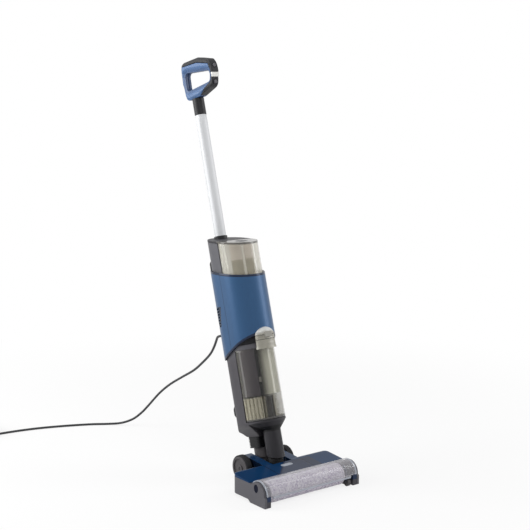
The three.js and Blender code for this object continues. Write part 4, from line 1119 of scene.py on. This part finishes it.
# ------------------------------------------------------------------ motor bay
# The suction motor with its fan, the control board, and the water pump with its hose down to the
# spray pipe, all inside the housing.
dress("suction_motor", "suction_motor_can", "upright_body", satin_steel, "motor_steel", 0.8)
tube_tones = tone(188, 190, 192), tone(206, 207, 209)
lengthwise = (14, 14, 0.35)
aluminium = bare_metal("brushed_aluminium", *tube_tones, 70, lengthwise, 0.56, 0.12, 4, 0.5)
dress("impeller", "suction_fan", "fan", aluminium, "tube_aluminium", 0.3)


def circuit_finish():
    """Green solder mask over copper tracks, which stand out as small offset blocks."""
    finish = Finish("circuit_board")
    sizes = {"Scale": 260.0, "Mortar Size": 0.03}
    greys = {"Color1": (0, 0, 0), "Color2": (1, 1, 1), "Mortar": (0.4, 0.4, 0.4)}
    inputs = {"Vector": finish.place, **sizes, **greys}
    tracks = finish.along("X", finish.node("ShaderNodeTexBrick", {"offset": 0.5}, inputs))
    finish.feed(
        Base_Color=finish.between(tracks, tone(24, 74, 48), tone(46, 108, 70)),
        Roughness=0.35 + 0.2 * tracks,
        Normal=finish.bump(tracks, 0.00005),
    )
    return finish


for node, name, finish, slot, radius in [
    ("control_board", "control_card", circuit_finish(), "circuit_board", 0.2),
    ("water_pump", "water_pump_body", black, "trim_black", 0.6),
    ("water_hose", "water_line", clear, "clear_plastic", 0.2),
]:
    dress(node, name, "upright_body", finish, slot, radius)

# ------------------------------------------------------------------ tanks
# Smoke-tinted clear tanks, blow moulded: clean water above the motor, dirty water below it. The
# tall pipe, float and filter housing show through the dirty tank's wall.
tank_radius, tank_wall, tank_back, tank_corner, tank_foot = 55, 2.4, -17.3, 6.0, 3.0
clean_floor, clean_rim = 446, 575.7
dirty_middle, dirty_floor, dirty_rim = -21, 108.3, 292


def tank_plan(inset, centre):
    """A half round in front and a flat back with rounded corners, all drawn in by inset."""
    front = np.linspace(np.pi, 2 * np.pi, 72)
    side = np.linspace(0, np.pi / 2, 9)
    corner = max(tank_corner - inset, 0.4)
    across, along = tank_radius - tank_corner, tank_back - tank_corner
    return np.concatenate(
        [
            arc(tank_radius - inset, front) + (0, centre),
            arc(corner, side) + (across, along),
            arc(corner, side + np.pi / 2) + (-across, along),
        ]
    )


def cup(name, centre, floor, rim, slope):
    """An open tank: floor pole, rounded foot, outside, rim, inside, and the inner floor's pole.

    Heights near the rim follow a plane that rises backwards with the slope.
    """
    rows = []

    def add_row(inset, height_at):
        plan = tank_plan(inset, centre)
        z = height_at(rim + slope * plan[:, 1])
        rows.append(np.insert(plan, 2, z, axis=1))

    for angle in np.linspace(0, math.pi / 2, 6):
        height = floor + tank_foot * (1 - math.cos(angle))
        add_row(tank_foot * (1 - math.sin(angle)), lambda top: height)
    for t in np.linspace(0.06, 0.96, 10):
        add_row(0, lambda top: floor + (top - floor) * t)
    for inset, drop in [(0, 0.6), (0.5, 0), (tank_wall - 0.5, 0), (tank_wall, 0.6)]:
        add_row(inset, lambda top: top - drop)
    for t in np.linspace(0.94, 0.08, 8):
        add_row(tank_wall, lambda top: floor + (top - floor) * t)
    add_row(tank_wall + 0.6, lambda top: floor + tank_wall + 1)
    add_row(tank_wall + 2, lambda top: floor + tank_wall)
    poles = [[0, centre - 10, z] for z in (floor, floor + tank_wall)]
    first, last = (np.broadcast_to(pole, rows[0].shape) for pole in poles)
    return grid_piece(name, leaning(np.array([first, *rows, last])))


corner_sideways, corner_back = 0.795, 0.607  # cosine and sine of about 37.4 degrees


def corner_line(sideways, back, centre):
    """Distance across the plan from the line through the tank's middle and left front corner."""
    return corner_sideways * sideways - corner_back * (back - centre)


def tank_plastic():
    """Smoke-tinted clear plastic, darker in front of an inner well, with one pale upright stripe painted
    on as a highlight.

    The well reaches from 19 mm on one side of the left front corner's line to 39 mm on the other.
    The plastic in front of it reads darker still below the well's shelf.
    """
    finish = clear_moulding("smoke_plastic", tone(206, 202, 186), 0.3, 0.6, 0.12)
    sideways, back, up = lean_coordinates(finish)
    across = corner_line(sideways, back, section_front)
    shelf = finish.rise(up, 520, 521)
    streaks = finish.noise(60, stretch=(1, 0.5, 0.04), detail=2)
    well = finish.band(across, -20.5, -18.5, 38, 40.5)
    # rib: a pale upright stripe painted on as a highlight.
    rib = finish.band(across, 9, 11.5, 14, 17.5)
    lower = finish.between(streaks, tone(178, 171, 150), tone(198, 191, 170))
    upper = finish.between(streaks, tone(220, 210, 194), tone(236, 226, 210))
    side = finish.between(streaks, tone(220, 217, 204), tone(240, 237, 224))
    behind = finish.between(shelf, lower, upper)
    finish.feed(Base_Color=finish.painted(side, (well, behind), (rib, tone(242, 238, 224))))
    return finish


smoke = tank_plastic()
clean = cup("clean_water_tank_wall", section_front, clean_floor, clean_rim, rim_slope)
settle(clean, "clean_water_tank", smoke, "tank_smoke", "clean_tank")
lid_finish = clear_moulding("smoke_lid", tone(112, 109, 103), 0.62, 0.9, 0.12)
for node, name, body, finish, slot, radius, layers, angle in [
    ("clean_tank_lid", "clean_tank_top", "clean_water_tank", lid_finish, "tank_smoke", 1.0, 3, 34),
    ("clean_tank_valve", "outlet_valve_seal", "outlet_valve", rubber, "rubber_black", 0.3, 2, 28),
    ("filler_cap", "filler_cap_plug", "filler_plug", dark_grey, "trim_dark", 0.8, 3, 28),
]:
    dress(node, name, body, finish, slot, radius, layers, angle)


def dirty_tank_plastic():
    """The same plastic seen against the dark filter; frosted below it, darker before the pipe.

    Over the frosting come a dark channel, a paler side, the pipe and the ring at the foot.
    """
    finish = clear_moulding("dark_smoke_plastic", tone(150, 146, 132), 0.05, 0.42, 0.16)
    sideways, back, up = lean_coordinates(finish)
    turn = edge_turn(finish)
    streaks = finish.noise(55, stretch=(1, 0.5, 0.03), detail=2)
    across = corner_line(sideways, back, dirty_middle)
    flute = finish.rise(abs(across % 9.5 - 4.75), 1.6, 4.2)
    ring = 1 - finish.rise(up, 113.5, 114.5)
    pale = finish.painted(
        finish.between(flute, tone(206, 200, 178), tone(140, 134, 112)),
        (finish.line(across, 6.2, 1.6, 2.8), tone(84, 78, 58)),
        (finish.rise(across, 33, 37), tone(162, 159, 146)),
        (finish.band(across, 10, 13, 31, 35), tone(74, 72, 66)),
        (ring, tone(84, 82, 80)),
    )
    olive = finish.rise(across, 10, 30)
    # Above the frosting the wall is painted paler where it turns away from the eye, a painted sheen along
    # its edges, and paler before the pipe.
    upper = finish.between(turn.most(0.75 * olive), tone(34, 33, 31), tone(196, 195, 180))
    finish.feed(
        Base_Color=finish.between(1 - finish.rise(up, 166, 170), upper, pale),
        Alpha=0.24 + 0.12 * streaks - 0.06 * olive + 0.3 * turn**2 + 0.4 * ring,
    )
    return finish


dirty = cup("dirty_water_tank_wall", dirty_middle, dirty_floor, dirty_rim, 0)
settle(dirty, "dirty_water_tank", dirty_tank_plastic(), "tank_smoke", "dirty_tank")
white = moulded("white_moulding", tone(226, 226, 222), 0.42)


def filter_finish():
    """The filter's frame: plum grey on its left, a black channel, olive grey mesh on its right.

    A pale flap stands in the channel at the float's height. The mesh is darker beside the channel
    and has a painted highlight along its right edge; the left face has a pale upright edge.
    """
    finish = Finish("filter_frame", Specular_IOR_Level=0.25)
    sideways, back, up = lean_coordinates(finish)
    across = corner_line(sideways, back, dirty_middle)
    weave = finish.noise(500, detail=1)
    drift = finish.noise(24, stretch=(1, 1, 0.3), detail=2)
    mesh = finish.between(weave, tone(164, 161, 146), tone(188, 185, 168))
    mesh = finish.between(finish.rise(across, 10, 32), tone(92, 91, 82), mesh)
    channel = finish.between(finish.rise(across, 10, 12), tone(16, 16, 18), mesh)
    flap = finish.line(across, 7.5, 2.6, 3.2) * finish.line(up, 212, 6, 7)
    colour = finish.painted(
        finish.between(drift, tone(88, 80, 88), tone(122, 114, 120)),
        (finish.line(across, -35, 1.4, 3), tone(176, 172, 174)),
        (finish.rise(across, 2, 4), channel),
        (flap, tone(168, 164, 152)),
        # A pale line along the mesh's right edge: a painted highlight.
        (finish.line(across, 38.5, 1.6, 2.8), tone(226, 224, 208)),
    )
    finish.feed(
        Base_Color=colour,
        Roughness=0.5 + 0.2 * (drift - 0.5),
        Normal=finish.bump(weave, 0.0001),
    )
    return finish


for node, name, body, finish, slot, radius in [
    ("inlet_pipe", "dirt_pipe", "dirty_water_tank", dark_grey, "trim_dark", 0.4),
    ("tank_filter", "filter_frame", "dirty_water_tank", filter_finish(), "trim_dark", 0.6),
    ("dirty_tank_lid", "dirty_tank_cover", "dirty_water_tank", satin_grey, "trim_dark", 1.0),
    ("float", "tank_float_ring", "tank_float", white, "band_white", 0.8),
]:
    dress(node, name, body, finish, slot, radius, angle=34)


def hood_plastic():
    """Thick clear plastic, greyer below, with a painted highlight whitening the top of the bell and
    painted shade beside each ring.
    """
    finish = clear_moulding("hood_plastic", tone(212, 209, 200), 0.64, 0.94, 0.24)
    _, _, up = lean_coordinates(finish)
    swirl = finish.noise(40, detail=2)
    body = finish.between(swirl, tone(150, 147, 134), tone(186, 183, 170))
    # The bell's top, painted white as a highlight.
    highlit_crown = finish.between(swirl, tone(226, 226, 222), tone(240, 240, 238))
    # groove: painted shade beside the rings.
    groove = finish.line(abs(up - 316.5), 5.5, 0.9, 1.6)
    coats = (finish.rise(up, 322, 334), highlit_crown), (0.8 * groove, tone(88, 86, 76))
    finish.feed(Base_Color=finish.painted(body, *coats))
    return finish


def hood_surface():
    """A clear bell in front of the shell: half round in plan, arched on top, with three rings.

    Rows rise from the flared foot; each is half a ring, out round the front and back inside. The
    width follows the arch and the depth a dome, and the inner face stands one wall further in.
    """
    foot, top, shoulder, wall = 287.4, 342.6, 322, 2.2
    back, half, depth = -78.2, 30.6, 17.6
    z = foot + (top - foot) * np.sin(np.linspace(0, np.pi / 2, 30)) ** 0.9
    arch = np.sqrt(np.clip(1 - np.clip((z - shoulder) / (top - shoulder), 0, 1) ** 2, 0.0004, 1))
    rings = sum(1.5 * np.exp(-(((z - at) / 1.6) ** 2)) for at in (300, 311, 322))
    flare = 0.93 + 0.07 * np.exp(-(z - foot) / 5)
    turn = np.linspace(0, np.pi, 41)
    outer_x = -np.cos(turn) * (half * flare * arch)[:, None]
    outer_y = back - np.sin(turn) ** 0.8 * ((depth + rings) * arch**0.5)[:, None]
    shrink = np.clip(1 - wall / np.maximum(half * arch, wall * 1.02), 0.02, 1)[:, None]
    inner_x = outer_x * shrink
    inner_y = back + (outer_y - back) * np.clip(shrink - 0.04, 0.01, 1)
    x = np.concatenate([outer_x, inner_x[:, ::-1]], axis=1)
    y = np.concatenate([outer_y, inner_y[:, ::-1]], axis=1)
    return np.stack([x, y, np.broadcast_to(z[:, None], x.shape)], axis=2)


hood = close_ends(grid_piece("latch_hood", leaning(hood_surface())))
settle(hood, "dirty_water_tank", hood_plastic(), "clear_plastic", "tank_handle")
latch_grey = moulded("latch_moulding", tone(150, 148, 141), 0.4)
dress("tank_latch", "latch_tongue", "release_latch", latch_grey, "trim_dark", 0.8, 3)

# ------------------------------------------------------------------ tube
# A drawn and anodised aluminium tube of 30 mm, pushed into the backbone's socket through a black
# collar, with the handle's neck in its upper end.
handle_y, handle_z = 40, 967
tube_bore, tube_radius, tube_low, tube_high = 13.5, 15, 470, 922
tube_profile = [
    (tube_bore, tube_low),
    (tube_radius - 0.4, tube_low),
    (tube_radius, tube_low + 0.5),
    *((tube_radius, z) for z in np.linspace(500, 900, 9)),
    (tube_radius, tube_high - 0.5),
    (tube_radius - 0.3, tube_high),
    (tube_bore + 0.3, tube_high),
    (tube_bore, tube_high - 0.3),
]
tube = leaning(turned(tube_profile, 64, "z", (0, handle_y, 0)))
tube = grid_piece("aluminium_tube", tube, wrap_rows=True)
settle(tube, "upright_body", aluminium, "tube_aluminium", "wand_tube")
dress("tube_collar", "socket_collar", "upright_body", black, "trim_black", 0.8, 3)

# ------------------------------------------------------------------ cord hooks
# Two black moulded hooks on the machine's back, which the spare cord is wound round. The lower one
# is fixed, and the upper one turns over to let the whole cord off at once.
for place, body in (("upper", "upper_hook"), ("lower", "upright_body")):
    dress(f"cord_hook_{place}", f"{place}_cord_hook", body, black, "trim_black", 2.0, 3)

# ------------------------------------------------------------------ handle
# A closed loop moulded in two blue halves, with a soft black cover over its top and front. A plain
# white band crosses the front between the power key and the mode key.
grip_half, hole_reach, edge_reach = 7, 15, 8
grip_outline = [
    (20, 0), (-24, 0), (-70, 9), (-84, 14), (-90, 24), (-97, 48), (-95, 70), (-84, 85), (-44, 99),
    (20, 103), (36, 100), (41, 87), (44, 51), (39, 18), (34, 4),
]
finger_hole = [
    (16, 73), (-70, 57), (-80, 53), (-82, 44), (-80, 36), (-77, 29), (-69, 26.5), (20, 26),
    (28, 29), (31, 37), (30, 63), (26, 71),
]


def nearest_edge(points, outline):
    """The distance of each point from a closed outline: the least of those from its sides."""
    outline = np.array(outline, float)
    least = np.full(len(points), np.inf)
    for start, end in zip(outline, np.roll(outline, -1, axis=0)):
        side = end - start
        share = np.clip((points - start) @ side / (side @ side), 0, 1)
        least = np.minimum(least, np.linalg.norm(points - start - share[:, None] * side, axis=1))
    return least


def hollowed(piece):
    """Draws the grip's sides in towards the finger hole and towards its outer edge.

    What stands further out than 7 mm keeps the share 1 - 0.75 (1 - s(h / 15)) - 0.45 (1 - s(o / 8))
    of it, with s the eased step, h the distance from the hole and o that from the outer edge.
    """
    place = np.empty(3 * len(piece.data.vertices))
    piece.data.vertices.foreach_get("co", place)
    place = place.reshape(-1, 3)
    offset = 1000 * (place - pivot)
    side_view = np.stack([offset @ lean_back - handle_y, offset @ lean_up - handle_z], axis=1)
    share = 1 - 0.75 * (1 - eased_step(nearest_edge(side_view, finger_hole) / hole_reach))
    share -= 0.45 * (1 - eased_step(nearest_edge(side_view, grip_outline) / edge_reach))
    beyond = np.maximum(np.abs(offset[:, 0]) - grip_half, 0)
    width = np.abs(offset[:, 0]) - beyond * (1 - np.clip(share, 0.1, 1))
    place[:, 0] = 0.001 * np.sign(offset[:, 0]) * width
    piece.data.vertices.foreach_set("co", place.ravel())
    piece.data.update()
    return piece


def grip_finish():
    """Blue moulding with a satin sheen, painted deeper blue on its inner faces as the shade that falls
    there.
    """
    finish = moulded("grip_blue", tone(56, 92, 138), 0.38, Specular_IOR_Level=0.5)
    sideways, _, _ = lean_coordinates(finish)
    # Outer faces painted lighter and inner faces darker: painted light and shade on one blue.
    lit_outer_share = finish.rise(abs(sideways), 6, 14)
    finish.feed(Base_Color=finish.between(lit_outer_share, tone(30, 58, 98), tone(60, 96, 142)))
    return finish


grip_blue = grip_finish()
soft_black = moulded("soft_black", tone(28, 29, 33), 0.5, grain=0.00006)
for node, name, finish, slot, softness in [
    ("handle_left", "grip_half_left", grip_blue, "shell_blue", {}),
    ("handle_right", "grip_half_right", grip_blue, "shell_blue", {}),
    ("handle_cover", "grip_cover", soft_black, "trim_black", {}),
    ("handle_band", "grip_band", white, "band_white", {"grain": 0.5, "rounds": 2}),
]:
    piece = hollowed(softened_copy(node, name, **softness))
    settle(piece, "upright_body", finish, slot, node)
dress("handle_neck", "handle_neck_sleeve", "upright_body", black, "trim_black", 0.8, 3)


key_play, key_rise = 0.4, 1.9


def key_cap(node):
    """A key turned about its own press direction: a dished face and a skirt short of its pocket."""
    corners = np.array([vertex.co for vertex in frame["nodes"][node].data.vertices]) - pivot
    back, up = 1000 * corners @ lean_back, 1000 * corners @ lean_up
    radius = (up.max() - up.min()) / 2 - key_play
    front, end = back.min(), back.max() - key_rise
    middle = (up.max() + up.min()) / 2
    profile = [(0, end), (radius, end), (radius, front + 1), (radius - 0.3, front + 0.3)]
    profile += [(radius - 1, front), (radius - 2, front + 0.15), (0.5, front + 0.4), (0, front + 0.4)]
    return leaning(turned(profile, 40, "y", (0, 0, middle)))


for key in ("power", "mode"):
    cap = grid_piece(f"{key}_key_cap", key_cap(f"{key}_button"))
    settle(cap, f"{key}_key", satin_grey, "body_grey", f"{key}_button")

# ------------------------------------------------------------------ floor, backdrop and light
# A plain pale floor that fades into a white backdrop, and large soft lamps: one high behind the
# left shoulder, one to the right, and a weak one in front.
floor_mesh = bpy.data.meshes.new("studio_floor")
floor_reach = 30
floor_corners = [(x * floor_reach, y * floor_reach, 0) for x, y in ((-1, -1), (1, -1), (1, 1), (-1, 1))]
floor_mesh.from_pydata(floor_corners, [], [(0, 1, 2, 3)])
studio_floor = placed("studio_floor", floor_mesh)
paper = Finish("floor_paper", Roughness=0.95, Specular_IOR_Level=0.0)
fibre = paper.noise(90, detail=3)
paper.feed(Base_Color=paper.between(fibre, (0.86, 0.86, 0.86), (0.89, 0.89, 0.89)))
seen_rays = ("Is Camera Ray", "Is Glossy Ray", "Is Transmission Ray")
light_path = sum(paper.node("ShaderNodeLightPath", {}, {}, ray) for ray in seen_rays)
glow = paper.node("ShaderNodeEmission", {}, {"Color": (1.0, 1.0, 1.0), "Strength": 1.0})
distance = paper.node("ShaderNodeVectorMath", {"operation": "LENGTH"}, {0: paper.place}, "Value")
near, far = 0.6, 1.8  # metres from the middle, between which the paper turns plain white
share = light_path * (0.8 + 0.2 * paper.rise(distance, near, far))
lit = Value(paper, paper.shader.outputs[0])
blend = paper.node("ShaderNodeMixShader", {}, {0: share, 1: lit, 2: glow})
output = next(node for node in paper.tree.nodes if node.type == "OUTPUT_MATERIAL")
paper.put(output.inputs["Surface"], blend)
floor_mesh.materials.append(paper.material)

world = bpy.data.worlds.new("studio")
bpy.context.scene.world = world
world.use_nodes = True
sky = world.node_tree
seen = sky.nodes.new("ShaderNodeLightPath")
strength = sky.nodes.new("ShaderNodeMapRange")
on_machine, as_backdrop = 0.42, 1.0
strength.inputs["To Min"].default_value = on_machine
strength.inputs["To Max"].default_value = as_backdrop
seen_light = seen.outputs[seen_rays[0]]
for ray in seen_rays[1:]:
    added = sky.nodes.new("ShaderNodeMath")
    sky.links.new(seen_light, added.inputs[0])
    sky.links.new(seen.outputs[ray], added.inputs[1])
    seen_light = added.outputs[0]
sky.links.new(seen_light, strength.inputs["Value"])
background = sky.nodes["Background"]
background.inputs["Color"].default_value = (1, 1, 1, 1)
sky.links.new(strength.outputs[0], background.inputs["Strength"])


def lamp(name, place, watts, width, height):
    """A soft box aimed at the middle of the machine."""
    light = bpy.data.lights.new(name, "AREA")
    light.shape = "RECTANGLE"
    light.size = width
    light.size_y = height
    light.energy = watts
    holder = placed(name, light)
    holder.location = place
    aim = Vector(place) - look_at
    holder.rotation_euler = aim.to_track_quat("Z", "Y").to_euler()


lamp("soft_box_left", (-1.95, 1.4, 1.4), 62, 2.0, 2.2)
lamp("soft_box_right", (1.95, -1.3, 1.3), 24, 0.9, 2.0)
lamp("soft_box_top", (-0.5, -1.2, 2.6), 15, 1.6, 1.6)
